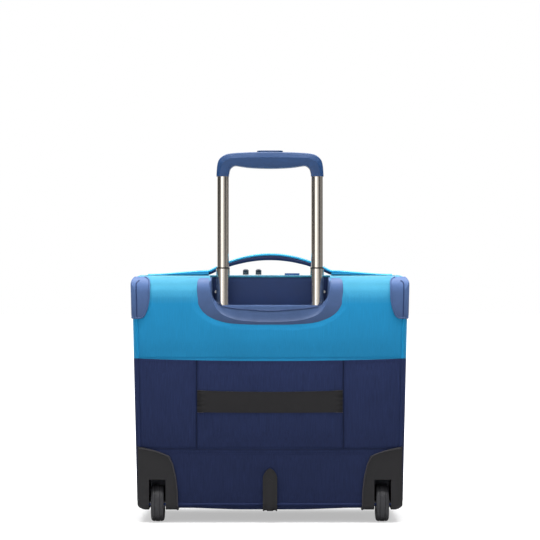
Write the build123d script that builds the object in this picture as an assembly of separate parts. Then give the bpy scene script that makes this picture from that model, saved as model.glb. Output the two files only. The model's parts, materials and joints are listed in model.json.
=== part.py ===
"""Soft-sided two-wheel laptop trolley case, in millimetres.

+Z is up and the floor is Z 0. The trolley handle, the wheels and the luggage band are on the rear (-Y).
The lid, its pocket and the zips are on the front (+Y). X 0 is the plane of symmetry.
"""

from build123d import *
import os

# Overall form of the soft case
CASE_WIDTH = 415.4  # at the top edge
CASE_TAPER = 16.4  # how much narrower the case is at its bottom
CASE_TOP_Z = 370.0
CASE_BOTTOM_Z = 21.5
CASE_DEPTH = 176.0  # rear panel to lid face
CORNER_RADIUS = 13.0
EDGE_RADIUS = 6.0
SEAM_INSET = 0.6  # of the rear seam, in from where the rounded edge begins
ROLL_RADIUS = 24.0  # of the rear panel over the top edge
SKIN = 3.0  # fabric with its foam and lining
POCKET_DEPTH = 22.5
POCKET_WALL = 2.0
POCKET_HALF = 150.0
POCKET_ROUND = 8.0
WHEEL_BEHIND = 6.5  # how far the tyres stand behind the rear panel
HALF_DEPTH = (WHEEL_BEHIND + CASE_DEPTH + POCKET_DEPTH) / 2
REAR_Y = WHEEL_BEHIND - HALF_DEPTH
LID_FACE_Y = REAR_Y + CASE_DEPTH
INNER_REAR_Y = REAR_Y + SKIN
FLOOR_INSIDE_Z = CASE_BOTTOM_Z + SKIN

# Lid and its zip
ZIP_Y = LID_FACE_Y - 32.0
ZIP_HALF_GAP = 0.3
TEETH_WIDTH = 3.0
TEETH_PROUD = 0.8
HINGE_Z = 75.0
HINGE_GAP = 0.4
HOOP_WIRE_RADIUS = 1.5
HOOP_GAP = 0.2

# Rear panels and band
PIPING_RADIUS = 2.0
COLOUR_LINE_Z = 246.5
CENTRE_PANEL_HALF = 110.0
LOWER_SEAM_Z = 111.5
BAND_LOW_Z = 165.6
BAND_HEIGHT = 32.9
BAND_THICKNESS = 1.6
BAND_GAP = 0.4
BOARD_THICKNESS = 2.0
BOARD_EDGE = 14.0

# Trolley tray, let into the top of the rear
TRAY_HALF = 109.0
TRAY_HEIGHT = 73.0
TRAY_SWEEP_X = 76.0
TRAY_SWEEP_Z = 37.0
TRAY_PROUD = 1.5
TRAY_DEPTH = 44.5
TRAY_WALL = 2.5
WELL_CORNER = 7.0
TRAY_TOP_Z = CASE_TOP_Z - 2.0
TRAY_BOTTOM_Z = CASE_TOP_Z - TRAY_HEIGHT
WELL_FLOOR_Z = CASE_TOP_Z - 44.0
SCOOP_LOW_Z = TRAY_BOTTOM_Z + 6.0
TRAY_FRONT_Y = REAR_Y + TRAY_DEPTH
WELL_FRONT_Y = TRAY_FRONT_Y - TRAY_WALL

# Trolley tubes
TUBE_SPACING = 142.0
TUBE_Y = REAR_Y + 22.0
TUBE_WALL = 0.8
STAGE1_RADIUS = 10.25
STAGE2_RADIUS = STAGE1_RADIUS - 1.5
FIXED_RADIUS = STAGE1_RADIUS + 1.75
RUNNING_GAP = 0.05
STAGE1_STANDS_OUT = 57.0  # above the well floor, as drawn
STAGE2_STANDS_OUT = 135.0  # above stage 1, as drawn
STAGE1_LENGTH = 270.0
STAGE2_LENGTH = 268.0
COLLAR_HEIGHT = 2.0
BUSH_LENGTH = 12.0
FOOT_HEIGHT = 10.0
BUSH_RIM = 1.5
BRACKET_HEIGHT = 16.0
SEAT_DEPTH = 4.0
STAGE1_TOP_Z = WELL_FLOOR_Z + STAGE1_STANDS_OUT
STAGE1_LOW_Z = STAGE1_TOP_Z - STAGE1_LENGTH
SLEEVE_LOW_Z = STAGE1_TOP_Z + STAGE2_STANDS_OUT
SOCKET_DEPTH = 12.0
STAGE2_TOP_Z = SLEEVE_LOW_Z + SOCKET_DEPTH
STAGE2_LOW_Z = STAGE2_TOP_Z - STAGE2_LENGTH

# Grip and release
GRIP_OVERHANG = 10.0  # of the grip past each tube centre
SLEEVE_WIDTH = 18.5
GRIP_DEPTH = 27.0
GRIP_HEIGHT = 38.5
GRIP_OUTER_RADIUS = 27.0
BELLY_Z = SLEEVE_LOW_Z + 14.5
GRIP_TOP_Z = SLEEVE_LOW_Z + GRIP_HEIGHT
GRIP_SPLIT_Z = GRIP_TOP_Z - 8.5
BUTTON_WIDTH = 39.0
BUTTON_DEPTH = 18.0
BUTTON_PROUD = 2.5
BUTTON_TRAVEL = 4.0
BUTTON_GAP = 0.4
BAR_HEIGHT = 3.5
BAR_DEPTH = 8.0
BAR_LOW_Z = BELLY_Z + BUTTON_TRAVEL + 4.0
ROD_RADIUS = 2.5
PIN_RADIUS = 2.0
PIN_LENGTH = 4.1
PIN_TIP_GAP = 0.45

# Carry handle and its strap
HANDLE_Y = REAR_Y + 86.0
HANDLE_HALF = 94.0
HANDLE_WIDTH = 28.0
HANDLE_RISE = 34.4
HANDLE_PAD_RISE = 24.0
STRAP_THICKNESS = 2.8
STRAP_END_Z = CASE_TOP_Z + 8.4
STRAP_HALF = 188.0
JOINT_GAP = 0.4

# Wheels and their housings
WHEEL_DIAMETER = 55.0
WHEEL_WIDTH = 20.0
WHEEL_INSET = 30.5  # wheel centre, in from the case's bottom edge
TYRE_THICKNESS = 7.0
WHEEL_SIDE_GAP = 2.5
WHEEL_ROUND_GAP = 4.0
HOUSING_WALL = 3.0
HOUSING_PROUD = 2.5
RIM_WIDTH = 2.2
RIM_PROUD = 0.9
HOUSING_OUTER_GAP = 0.6
HOUSING_REACH = 31.5  # of its foot, in from the wheel's centre
AXLE_RADIUS = 4.0
SLOT_TOP_GAP = 9.7
AXLE_Z = WHEEL_DIAMETER / 2
AXLE_Y = REAR_Y - WHEEL_BEHIND + WHEEL_DIAMETER / 2
BOTTOM_HALF = (CASE_WIDTH - CASE_TAPER) / 2
WHEEL_X = BOTTOM_HALF - WHEEL_INSET

# Guards, feet, small hardware
GUARD_PROUD = 2.2
GUARD_REACH = 38.0
GUARD_WIDTH = 27.0
GUARD_HEIGHT = 63.5
GUARD_TOP_GAP = 1.0
SKID_HALF = 10.8
SKID_RIB_HALF = 4.6
SKID_TOP_Z = CASE_BOTTOM_Z + 60.5
SKID_PROUD = 4.7
FOOT_X = 174.0
FOOT_WIDTH = 16.0
FOOT_DEPTH = 30.0
SLIDER_LENGTH = 9.0
SLIDER_WIDTH = 8.0
SLIDER_HEIGHT = 3.6
SLIDER_LIFT = 0.8
PULL_LENGTH = 24.0
PULL_WIDTH = 7.0
PULL_THICKNESS = 1.6
PULL_BAR_RADIUS = 1.1
PULL_EYE_GAP = 0.35
PULL_DROOP = 9.0  # degrees, where a pull lies on the top
BAR_LIFT = 2.9
SLIDER_PLACES = (-18.0, -38.0)
FACE_ZIP_Z = 325.0
FACE_ZIP_HALF = 150.0
FACE_SLIDER_X = -130.0
SCREW_HEAD_RADIUS = 2.2
SCREW_HEAD_HEIGHT = 1.5
SCREW_SHANK_RADIUS = 1.6

# Inside
WALL_PANEL_Y = TRAY_FRONT_Y + 1.0
WALL_PANEL_THICKNESS = 1.5
SLEEVE_HALF = 148.0
SLEEVE_TOP_Z = 300.0
SLEEVE_DEPTH = 14.0
SLEEVE_PANEL = 4.0

REAR_VIEW = Plane((0, 0, 0), x_dir=(1, 0, 0), z_dir=(0, -1, 0))
SIDE_VIEW = Plane((0, 0, 0), x_dir=(0, 1, 0), z_dir=(1, 0, 0))


# ---- Shared geometry ----


def write(shape, node):
    """Write one sub-part to its own STEP file."""
    export_step(shape, f"parts/{node}.step")


def block(x_low, x_high, y_low, y_high, z_low, z_high):
    """Box between two corners."""
    middle = ((x_low + x_high) / 2, (y_low + y_high) / 2, (z_low + z_high) / 2)
    return Pos(*middle) * Box(x_high - x_low, y_high - y_low, z_high - z_low)


def rear_prism(sketch, y_low, y_high):
    """Carry a sketch drawn in X and Z from y_low to y_high."""
    return Pos(0, y_high, 0) * extrude(REAR_VIEW * sketch, y_high - y_low)


def side_prism(sketch, x_low, x_high):
    """Carry a sketch drawn in Y and Z from x_low to x_high."""
    return Pos(x_low, 0, 0) * extrude(SIDE_VIEW * sketch, x_high - x_low)


def upright(radius, x, y, z_low, z_high):
    """Vertical cylinder."""
    return Pos(x, y, (z_low + z_high) / 2) * Cylinder(radius, z_high - z_low)


def level(radius, y, z, x_low, x_high):
    """Cylinder along X."""
    return Pos((x_low + x_high) / 2, y, z) * Rot(0, 90, 0) * Cylinder(radius, x_high - x_low)


def polygon(*points):
    """Closed sketch through points."""
    return make_face(Polyline(*points, close=True))


def mirrored(shape):
    """The same shape on the other side of X 0."""
    return mirror(shape, about=Plane.YZ)


def pair(shape):
    """A shape drawn on the right and its mirror image, as two solids."""
    return Compound(children=[mirrored(shape).solid(), shape.solid()])


def half_width(z):
    """Half the width of the case at height z."""
    share = (z - CASE_BOTTOM_Z) / (CASE_TOP_Z - CASE_BOTTOM_Z)
    return BOTTOM_HALF + share * CASE_TAPER / 2


def case_outline(grow):
    """Rear outline of the case, grown all round."""
    low = CASE_BOTTOM_Z - grow
    high = CASE_TOP_Z + grow
    low_half = half_width(low) + grow
    high_half = half_width(high) + grow
    face = polygon((-low_half, low), (low_half, low), (high_half, high), (-high_half, high))
    return fillet(face.vertices(), max(CORNER_RADIUS + grow, 1.0))


def case_form(grow):
    """The whole soft case as one solid, grown all round."""
    form = rear_prism(case_outline(grow), REAR_Y - grow, LID_FACE_Y + grow)
    ends = form.faces().sort_by(Axis.Y)
    rims = ends[0].edges() + ends[-1].edges()
    form = fillet(rims, max(EDGE_RADIUS + grow, 1.0))
    rear = REAR_Y - grow
    top = CASE_TOP_Z + grow
    side = polygon((rear, -100), (LID_FACE_Y + 50, -100), (LID_FACE_Y + 50, top), (rear, top))
    corner = side.vertices().sort_by(Axis.X)[:2].sort_by(Axis.Y)[-1:]
    return form & side_prism(fillet(corner, ROLL_RADIUS + grow), -CASE_WIDTH, CASE_WIDTH)


def case_skin(low, high):
    """Layer of the case between two growths."""
    return case_form(high) - case_form(low)


def ring_along(grow, y, radius):
    """Round cord that follows the case's outline at one depth."""
    path = (Pos(0, y, 0) * (REAR_VIEW * case_outline(grow))).wire()
    section = Plane(origin=path @ 0, z_dir=path % 0) * Circle(radius)
    return sweep(section, path=path)


def tray_rim_outline():
    """Rear outline of the tray's rim: straight sides that sweep into the bottom on a long ellipse."""
    high = CASE_TOP_Z + 40.0
    flat = TRAY_HALF - TRAY_SWEEP_X
    turn = TRAY_BOTTOM_Z + TRAY_SWEEP_Z
    right = EllipticalCenterArc((flat, turn), TRAY_SWEEP_X, TRAY_SWEEP_Z, start_angle=270, arc_size=90)
    left = EllipticalCenterArc((-flat, turn), TRAY_SWEEP_X, TRAY_SWEEP_Z, start_angle=180, arc_size=90)
    bottom = Line((-flat, TRAY_BOTTOM_Z), (flat, TRAY_BOTTOM_Z))
    top = Polyline((TRAY_HALF, turn), (TRAY_HALF, high), (-TRAY_HALF, high), (-TRAY_HALF, turn))
    return make_face(right + left + bottom + top)


def tray_outline(half, low, corner):
    """Rear outline of the well: square above, rounded at the two lower corners."""
    high = CASE_TOP_Z + 40.0
    face = polygon((-half, low), (half, low), (half, high), (-half, high))
    return fillet(face.vertices().sort_by(Axis.Y)[:2], corner)


def guard_outline():
    """Rear outline of the right-hand top corner guard, a tongue that narrows downwards."""
    inner = half_width(CASE_TOP_Z) - GUARD_WIDTH
    low = CASE_TOP_Z - GUARD_HEIGHT
    outer = half_width(CASE_TOP_Z) + 20.0
    top = CASE_TOP_Z - GUARD_TOP_GAP
    edge = ThreePointArc((inner, low + 38), (inner + 2.5, low + 18), (inner + 8, low + 4))
    rest = Polyline((inner + 8, low + 4), (inner + 13, low), (outer, low), (outer, top), (inner + 6, top),
                    (inner, top - 6), (inner, low + 38))
    return make_face(edge + rest)


def housing_outline(inset):
    """Rear outline of the right-hand wheel housing: two bowed edges that meet at a shoulder."""
    foot = WHEEL_X - HOUSING_REACH + inset
    shoulder = WHEEL_X - 18.8 + inset
    low = CASE_BOTTOM_Z
    shoulder_z = low + 78.2 - inset
    outer = BOTTOM_HALF - HOUSING_OUTER_GAP
    outer_z = low + 93 - inset
    inner_edge = ThreePointArc((foot, low), (foot + 4, low + 40), (shoulder, shoulder_z))
    top_edge = ThreePointArc((shoulder, shoulder_z), (WHEEL_X + 8, low + 88 - inset), (outer, outer_z))
    rest = Polyline((outer, outer_z), (outer, -20), (foot, -20), (foot, low))
    return make_face(inner_edge + top_edge + rest)


def well_profile(extra):
    """Side outline of the wheel well, grown by extra."""
    top = AXLE_Z + WHEEL_DIAMETER / 2 + SLOT_TOP_GAP + extra
    front = AXLE_Y + WHEEL_DIAMETER / 2 + WHEEL_ROUND_GAP + extra
    face = polygon((REAR_Y - 30, -20), (front, -20), (front, top), (REAR_Y - 30, top))
    corner = [v for v in face.vertices() if v.X > REAR_Y and v.Y > 0]
    return fillet(corner, 20.0 + extra)


def wheel_well(extra):
    """The right-hand well as a solid, grown by extra."""
    half = WHEEL_WIDTH / 2 + WHEEL_SIDE_GAP + extra
    return side_prism(well_profile(extra), WHEEL_X - half, WHEEL_X + half)


def both(shape):
    """A shape and its mirror image, for cutting."""
    return [shape, mirrored(shape)]


# ---- Shapes that several sub-parts share ----

SKIN_LAYER = case_skin(-SKIN, 0)
TRAY_SPACE = rear_prism(tray_rim_outline(), REAR_Y - 20, TRAY_FRONT_Y)
LINER_SPACES = both(wheel_well(HOUSING_WALL))
REAR_FACE_INSET = -EDGE_RADIUS - SEAM_INSET
REAR_ZONE = rear_prism(case_outline(REAR_FACE_INSET), REAR_Y - 5, REAR_Y + ROLL_RADIUS + SKIN)
GUARD_ZONES = both(rear_prism(guard_outline(), REAR_Y - 20, REAR_Y + GUARD_REACH))
HOUSING_ZONES = both(rear_prism(housing_outline(0), REAR_Y - 20, REAR_Y + 60))


def rear_piping():
    """Piping round the rear, left out at the top, the skid and the wheel housings."""
    cord = ring_along(REAR_FACE_INSET, REAR_Y, PIPING_RADIUS)
    cut = block(-CASE_WIDTH, CASE_WIDTH, REAR_Y - 20, TRAY_FRONT_Y, CASE_TOP_Z - GUARD_HEIGHT + 4, CASE_TOP_Z + 20)
    skid = block(-SKID_HALF, SKID_HALF, REAR_Y - 20, REAR_Y + 40, -20, SKID_TOP_Z)
    for zone in [cut, skid] + GUARD_ZONES + HOUSING_ZONES:
        cord = cord - zone
    return cord


REAR_PIPING = rear_piping()


# ---- Sub-parts ----


def make_rear_panels():
    """Five flat panels sewn edge to edge on the rear."""
    sheet = SKIN_LAYER & REAR_ZONE
    for tool in [TRAY_SPACE, REAR_PIPING] + LINER_SPACES:
        sheet = sheet - tool
    wide = CASE_WIDTH
    y_low = REAR_Y - 10
    y_high = REAR_Y + 2 * ROLL_RADIUS
    side = CENTRE_PANEL_HALF
    write(sheet & block(-wide, wide, y_low, y_high, COLOUR_LINE_Z, CASE_TOP_Z + 10), "rear_panel_upper")
    write(sheet & block(-side, side, y_low, y_high, LOWER_SEAM_Z, COLOUR_LINE_Z), "rear_panel_centre")
    write(pair(sheet & block(side, wide, y_low, y_high, LOWER_SEAM_Z, COLOUR_LINE_Z)), "rear_panel_sides")
    write(sheet & block(-wide, wide, y_low, y_high, 0, LOWER_SEAM_Z), "rear_panel_lower")
    write(REAR_PIPING, "rear_piping")


def make_gusset():
    """Side, top and bottom panels between the rear and the zip, and the fixed strip under the lid."""
    front_edge = ZIP_Y - ZIP_HALF_GAP - TEETH_WIDTH
    wide = CASE_WIDTH
    band = SKIN_LAYER & block(-wide, wide, REAR_Y - 10, front_edge, 0, CASE_TOP_Z + 10)
    for tool in [REAR_ZONE, TRAY_SPACE, REAR_PIPING] + LINER_SPACES:
        band = band - tool
    flat = half_width(CASE_TOP_Z) - CORNER_RADIUS
    y_low = REAR_Y - 10
    write(band & block(-flat, flat, y_low, front_edge, CASE_TOP_Z - 60, CASE_TOP_Z + 10), "top_panel")
    low_flat = WHEEL_X - HOUSING_REACH
    write(band & block(-low_flat, low_flat, y_low, front_edge, 0, CASE_BOTTOM_Z + 20), "bottom_panel")
    side_low = block(low_flat, wide, y_low, front_edge, 0, COLOUR_LINE_Z)
    side_high = block(low_flat, wide, y_low, front_edge, COLOUR_LINE_Z, CASE_TOP_Z - 60)
    side_high = side_high + block(flat, wide, y_low, front_edge, CASE_TOP_Z - 60, CASE_TOP_Z + 10)
    write(pair(band & side_high), "side_panels_upper")
    write(pair(band & side_low), "side_panels_lower")
    strip = SKIN_LAYER & block(-wide, wide, front_edge, LID_FACE_Y + 10, 0, HINGE_Z)
    write(strip, "front_lower_panel")


def pocket_block(inset, high):
    """Block of the slip pocket, rounded along its front edges."""
    half = POCKET_HALF - inset
    front = LID_FACE_Y + POCKET_DEPTH - inset
    shape = block(-half, half, LID_FACE_Y, front, HINGE_Z + 20 + inset, high)
    corners = shape.edges().filter_by(Axis.Z).sort_by(Axis.Y)[-2:]
    bottom = shape.edges().filter_by(Axis.X).sort_by(Axis.Z)[:2].sort_by(Axis.Y)[-1:]
    return fillet(corners + bottom, POCKET_ROUND - inset)


def slip_pocket():
    """Pocket on the lid, open at its top."""
    rim = FACE_ZIP_Z - 25
    hollow = pocket_block(POCKET_WALL, rim + 10)
    return pocket_block(0, rim) - hollow


def make_lid():
    """Lid shell, the slip pocket on it, and both zip chains."""
    wide = CASE_WIDTH
    above = HINGE_Z + HINGE_GAP
    high = CASE_TOP_Z + 10
    lid_edge = ZIP_Y + ZIP_HALF_GAP + TEETH_WIDTH
    write(SKIN_LAYER & block(-wide, wide, lid_edge, LID_FACE_Y + 10, above, high), "lid_shell")
    chain = case_skin(-SKIN, TEETH_PROUD)
    lid_side = block(-wide, wide, ZIP_Y + ZIP_HALF_GAP, lid_edge, above, high)
    case_side = block(-wide, wide, ZIP_Y - ZIP_HALF_GAP - TEETH_WIDTH, ZIP_Y - ZIP_HALF_GAP, HINGE_Z, high)
    write(chain & lid_side, "zip_chain_lid")
    write(chain & case_side, "zip_chain_case")
    strip = block(-FACE_ZIP_HALF, FACE_ZIP_HALF, LID_FACE_Y, LID_FACE_Y + 1.2, FACE_ZIP_Z - 3, FACE_ZIP_Z + 3)
    write(strip, "face_zip_chain")
    write(slip_pocket(), "front_pocket")


def make_inside():
    """Board, inner wall, laptop sleeve, base board and the wire hoop that holds the mouth open."""
    board_top = TRAY_BOTTOM_Z - 2
    board_face = case_outline(-BOARD_EDGE)
    board_y = INNER_REAR_Y + BAND_GAP
    board = rear_prism(board_face, board_y, board_y + BOARD_THICKNESS)
    board = board & block(-CASE_WIDTH, CASE_WIDTH, board_y - 1, board_y + 10, 0, board_top)
    wall = rear_prism(case_outline(-SKIN - 1), WALL_PANEL_Y, WALL_PANEL_Y + WALL_PANEL_THICKNESS)
    for tool in LINER_SPACES:
        board = board - tool
        wall = wall - tool
    write(board, "back_board")
    write(wall, "inner_wall")
    rear = WALL_PANEL_Y + WALL_PANEL_THICKNESS
    low = FLOOR_INSIDE_Z + 5
    half = min(SLEEVE_HALF, WHEEL_X - WHEEL_WIDTH / 2 - WHEEL_SIDE_GAP - HOUSING_WALL - 1)
    sleeve = block(-half, half, rear, rear + SLEEVE_DEPTH, low, SLEEVE_TOP_Z)
    space = block(-half + 4, half - 4, rear, rear + SLEEVE_DEPTH - SLEEVE_PANEL, low + 4, SLEEVE_TOP_Z + 10)
    write(sleeve - space, "laptop_sleeve")
    clear_half = half_width(CASE_BOTTOM_Z) - SKIN - CORNER_RADIUS
    front = LID_FACE_Y - SKIN - 4
    base_rear = max(rear + SLEEVE_DEPTH, AXLE_Y + WHEEL_DIAMETER / 2 + WHEEL_ROUND_GAP + HOUSING_WALL) + 2
    write(block(-clear_half, clear_half, base_rear, front, FLOOR_INSIDE_Z, FLOOR_INSIDE_Z + 2), "base_board")
    inset = -SKIN - HOOP_WIRE_RADIUS - HOOP_GAP - 2
    write(ring_along(inset, ZIP_Y - 10, HOOP_WIRE_RADIUS), "frame_hoop")


def make_band():
    """Elastic band across the rear that slips over another case's handle."""
    y_high = REAR_Y - BAND_GAP
    half = CENTRE_PANEL_HALF - 1
    band = block(-half, half, y_high - BAND_THICKNESS, y_high, BAND_LOW_Z, BAND_LOW_Z + BAND_HEIGHT)
    tack = block(half - 3, half, y_high, REAR_Y, BAND_LOW_Z, BAND_LOW_Z + BAND_HEIGHT)
    band = band + tack + mirrored(tack)
    write(band, "luggage_band")


def make_tray():
    """Moulded tray with its well, scoop, tube bores and two screws."""
    tray = TRAY_SPACE & case_form(TRAY_PROUD)
    tray = tray & block(-TRAY_HALF, TRAY_HALF, REAR_Y - 20, TRAY_FRONT_Y, 0, TRAY_TOP_Z)
    well_half = TRAY_HALF - 21
    tray = tray - rear_prism(tray_outline(well_half, WELL_FLOOR_Z, WELL_CORNER), REAR_Y - 20, WELL_FRONT_Y)
    slope = polygon((REAR_Y - 20, SCOOP_LOW_Z), (REAR_Y - TRAY_PROUD, SCOOP_LOW_Z), (REAR_Y + 5, WELL_FLOOR_Z - 7),
                    (REAR_Y + 8, WELL_FLOOR_Z + 0.1), (REAR_Y - 20, WELL_FLOOR_Z + 0.1))
    scoop = side_prism(slope, -TRAY_HALF, TRAY_HALF)
    tray = tray - (scoop & rear_prism(tray_outline(well_half, SCOOP_LOW_Z, 30), REAR_Y - 25, WELL_FRONT_Y))
    under_half = TRAY_HALF - TRAY_SWEEP_X
    under = block(-under_half, under_half, REAR_Y + 8 + TRAY_WALL, TRAY_FRONT_Y + 1,
                  TRAY_BOTTOM_Z + TRAY_WALL, WELL_FLOOR_Z - TRAY_WALL)
    beside = block(well_half + TRAY_WALL, TRAY_HALF - TRAY_WALL, REAR_Y + ROLL_RADIUS + TRAY_WALL, TRAY_FRONT_Y + 1,
                   TRAY_BOTTOM_Z + TRAY_SWEEP_Z, TRAY_TOP_Z - TRAY_WALL)
    tray = tray - under - beside - mirrored(beside)
    tube_hole = upright(FIXED_RADIUS, TUBE_SPACING / 2, TUBE_Y, TRAY_BOTTOM_Z - 10, TRAY_TOP_Z + 1)
    across = Pos(well_half - 6, 0, CASE_TOP_Z - 24) * Rot(90, 0, 0)
    shank = Pos(0, WELL_FRONT_Y + TRAY_WALL / 2, 0) * across * Cylinder(SCREW_SHANK_RADIUS, TRAY_WALL)
    head_y = WELL_FRONT_Y - SCREW_HEAD_HEIGHT / 2
    head = Pos(0, head_y, 0) * across * Cylinder(SCREW_HEAD_RADIUS, SCREW_HEAD_HEIGHT)
    for hole in both(tube_hole) + both(shank):
        tray = tray - hole
    write(tray, "trolley_tray")
    write(pair(head + shank), "tray_screws")


def tube_between(outer, bore, z_low, z_high):
    """Right-hand trolley tube or ring."""
    x = TUBE_SPACING / 2
    return upright(outer, x, TUBE_Y, z_low, z_high) - upright(bore, x, TUBE_Y, z_low - 1, z_high + 1)


def make_fixed_tubes():
    """Tubes fixed in the case, their bushes and the bracket at their feet."""
    bracket_top = FLOOR_INSIDE_Z + BRACKET_HEIGHT
    half = TUBE_SPACING / 2 + FIXED_RADIUS + 3
    bracket = block(-half, half, TUBE_Y - FIXED_RADIUS - 2, TUBE_Y + FIXED_RADIUS + 2, FLOOR_INSIDE_Z, bracket_top)
    low = bracket_top - SEAT_DEPTH
    for seat in both(upright(FIXED_RADIUS, TUBE_SPACING / 2, TUBE_Y, low, bracket_top + 1)):
        bracket = bracket - seat
    write(bracket, "trolley_bracket")
    bore = FIXED_RADIUS - TUBE_WALL
    top = WELL_FLOOR_Z - BUSH_RIM
    write(pair(tube_between(FIXED_RADIUS, bore, low, top)), "fixed_tubes")
    hole = STAGE1_RADIUS + RUNNING_GAP
    bush = tube_between(bore, hole, top - BUSH_LENGTH, top) + tube_between(FIXED_RADIUS, hole, top, WELL_FLOOR_Z)
    write(pair(bush), "fixed_bushes")


def make_stage1():
    """Large sliding tubes with a collar on top and a guide foot below."""
    bore = STAGE1_RADIUS - TUBE_WALL
    collar_low = STAGE1_TOP_Z - COLLAR_HEIGHT
    write(pair(tube_between(STAGE1_RADIUS, bore, STAGE1_LOW_Z, collar_low)), "stage1_tubes")
    hole = STAGE2_RADIUS + RUNNING_GAP
    collar = tube_between(STAGE1_RADIUS, hole, collar_low, STAGE1_TOP_Z)
    collar = collar + tube_between(bore, hole, collar_low - BUSH_LENGTH, collar_low)
    write(pair(collar), "stage1_collars")
    foot = tube_between(FIXED_RADIUS - TUBE_WALL - RUNNING_GAP, STAGE2_RADIUS, STAGE1_LOW_Z - FOOT_HEIGHT, STAGE1_LOW_Z)
    write(pair(foot), "stage1_feet")


def make_stage2():
    """Small sliding tubes, their guide feet, the lock pins and the rods that draw them."""
    x = TUBE_SPACING / 2
    write(pair(tube_between(STAGE2_RADIUS, STAGE2_RADIUS - TUBE_WALL, STAGE2_LOW_Z, STAGE2_TOP_Z)), "stage2_tubes")
    inside = STAGE1_RADIUS - TUBE_WALL
    foot_low = STAGE2_LOW_Z - FOOT_HEIGHT
    pin_z = STAGE2_LOW_Z - FOOT_HEIGHT / 2
    foot = upright(inside - RUNNING_GAP, x, TUBE_Y, foot_low, STAGE2_LOW_Z)
    foot = foot - upright(ROD_RADIUS + 0.5, x, TUBE_Y, foot_low + 2, STAGE2_LOW_Z + 5)
    foot = foot - level(PIN_RADIUS + RUNNING_GAP, TUBE_Y, pin_z, x, x + STAGE1_RADIUS)
    write(pair(foot), "stage2_feet")
    tip = x + inside - PIN_TIP_GAP
    pin = level(PIN_RADIUS, TUBE_Y, pin_z, tip - PIN_LENGTH, tip)
    write(pin, "lock_pin_right")
    write(mirrored(pin), "lock_pin_left")
    write(pair(upright(ROD_RADIUS, x, TUBE_Y, STAGE2_LOW_Z - 3, BAR_LOW_Z)), "pull_rods")


def grip_outline():
    """Rear outline of the grip, with the hand space below its belly."""
    outer = TUBE_SPACING / 2 + GRIP_OVERHANG
    inner = outer - SLEEVE_WIDTH
    corner = BELLY_Z + 4
    face = make_face(
        Polyline((inner - 10, corner), (inner, corner), (inner, SLEEVE_LOW_Z), (outer, SLEEVE_LOW_Z),
                 (outer, GRIP_TOP_Z), (-outer, GRIP_TOP_Z), (-outer, SLEEVE_LOW_Z), (-inner, SLEEVE_LOW_Z),
                 (-inner, corner), (-inner + 10, corner))
        + ThreePointArc((-inner + 10, corner), (0, BELLY_Z), (inner - 10, corner))
    )
    top = face.vertices().sort_by(Axis.Y)[-2:]
    face = fillet(top, GRIP_OUTER_RADIUS)
    crook = [v for v in face.vertices() if abs(abs(v.X) - inner) < 0.1 and abs(v.Y - corner) < 0.1]
    return fillet(crook, 7)


def make_grip():
    """Two-part grip with its release button and the bar under it."""
    grip = rear_prism(grip_outline(), TUBE_Y - GRIP_DEPTH / 2, TUBE_Y + GRIP_DEPTH / 2)
    bar_half = TUBE_SPACING / 2 + ROD_RADIUS
    room = 0.5
    cavity = block(-bar_half - room, bar_half + room, TUBE_Y - BAR_DEPTH / 2 - room, TUBE_Y + BAR_DEPTH / 2 + room,
                   BAR_LOW_Z - BUTTON_TRAVEL - room, GRIP_SPLIT_Z)
    grip = grip - cavity
    x = TUBE_SPACING / 2
    socket = upright(STAGE2_RADIUS, x, TUBE_Y, SLEEVE_LOW_Z - 5, STAGE2_TOP_Z)
    rod_hole = upright(ROD_RADIUS + room, x, TUBE_Y, SLEEVE_LOW_Z, BAR_LOW_Z)
    for hole in both(socket) + both(rod_hole):
        grip = grip - hole
    slot_face = SlotOverall(BUTTON_WIDTH + 2 * BUTTON_GAP, BUTTON_DEPTH + 2 * BUTTON_GAP)
    grip = grip - Pos(0, TUBE_Y, GRIP_SPLIT_Z - 1) * extrude(slot_face, 20)
    wide = TUBE_SPACING
    write(grip & block(-wide, wide, TUBE_Y - 50, TUBE_Y + 50, GRIP_SPLIT_Z, GRIP_TOP_Z + 5), "grip_cap")
    write(grip & block(-wide, wide, TUBE_Y - 50, TUBE_Y + 50, SLEEVE_LOW_Z - 5, GRIP_SPLIT_Z), "grip_body")
    bar_top = BAR_LOW_Z + BAR_HEIGHT
    bar_front = TUBE_Y + BAR_DEPTH / 2
    write(block(-bar_half, bar_half, TUBE_Y - BAR_DEPTH / 2, bar_front, BAR_LOW_Z, bar_top), "release_bar")
    half = BUTTON_WIDTH / 2
    top = GRIP_TOP_Z + BUTTON_PROUD
    head_low = GRIP_SPLIT_Z + BUTTON_TRAVEL + BUTTON_GAP
    head = Pos(0, TUBE_Y, head_low) * extrude(SlotOverall(BUTTON_WIDTH, BUTTON_DEPTH), top - head_low)
    stem_half = half - BUTTON_DEPTH / 2
    stem = block(-stem_half, stem_half, TUBE_Y - BAR_DEPTH / 2, bar_front, bar_top, head_low)
    write(head + stem, "release_button")


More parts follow.
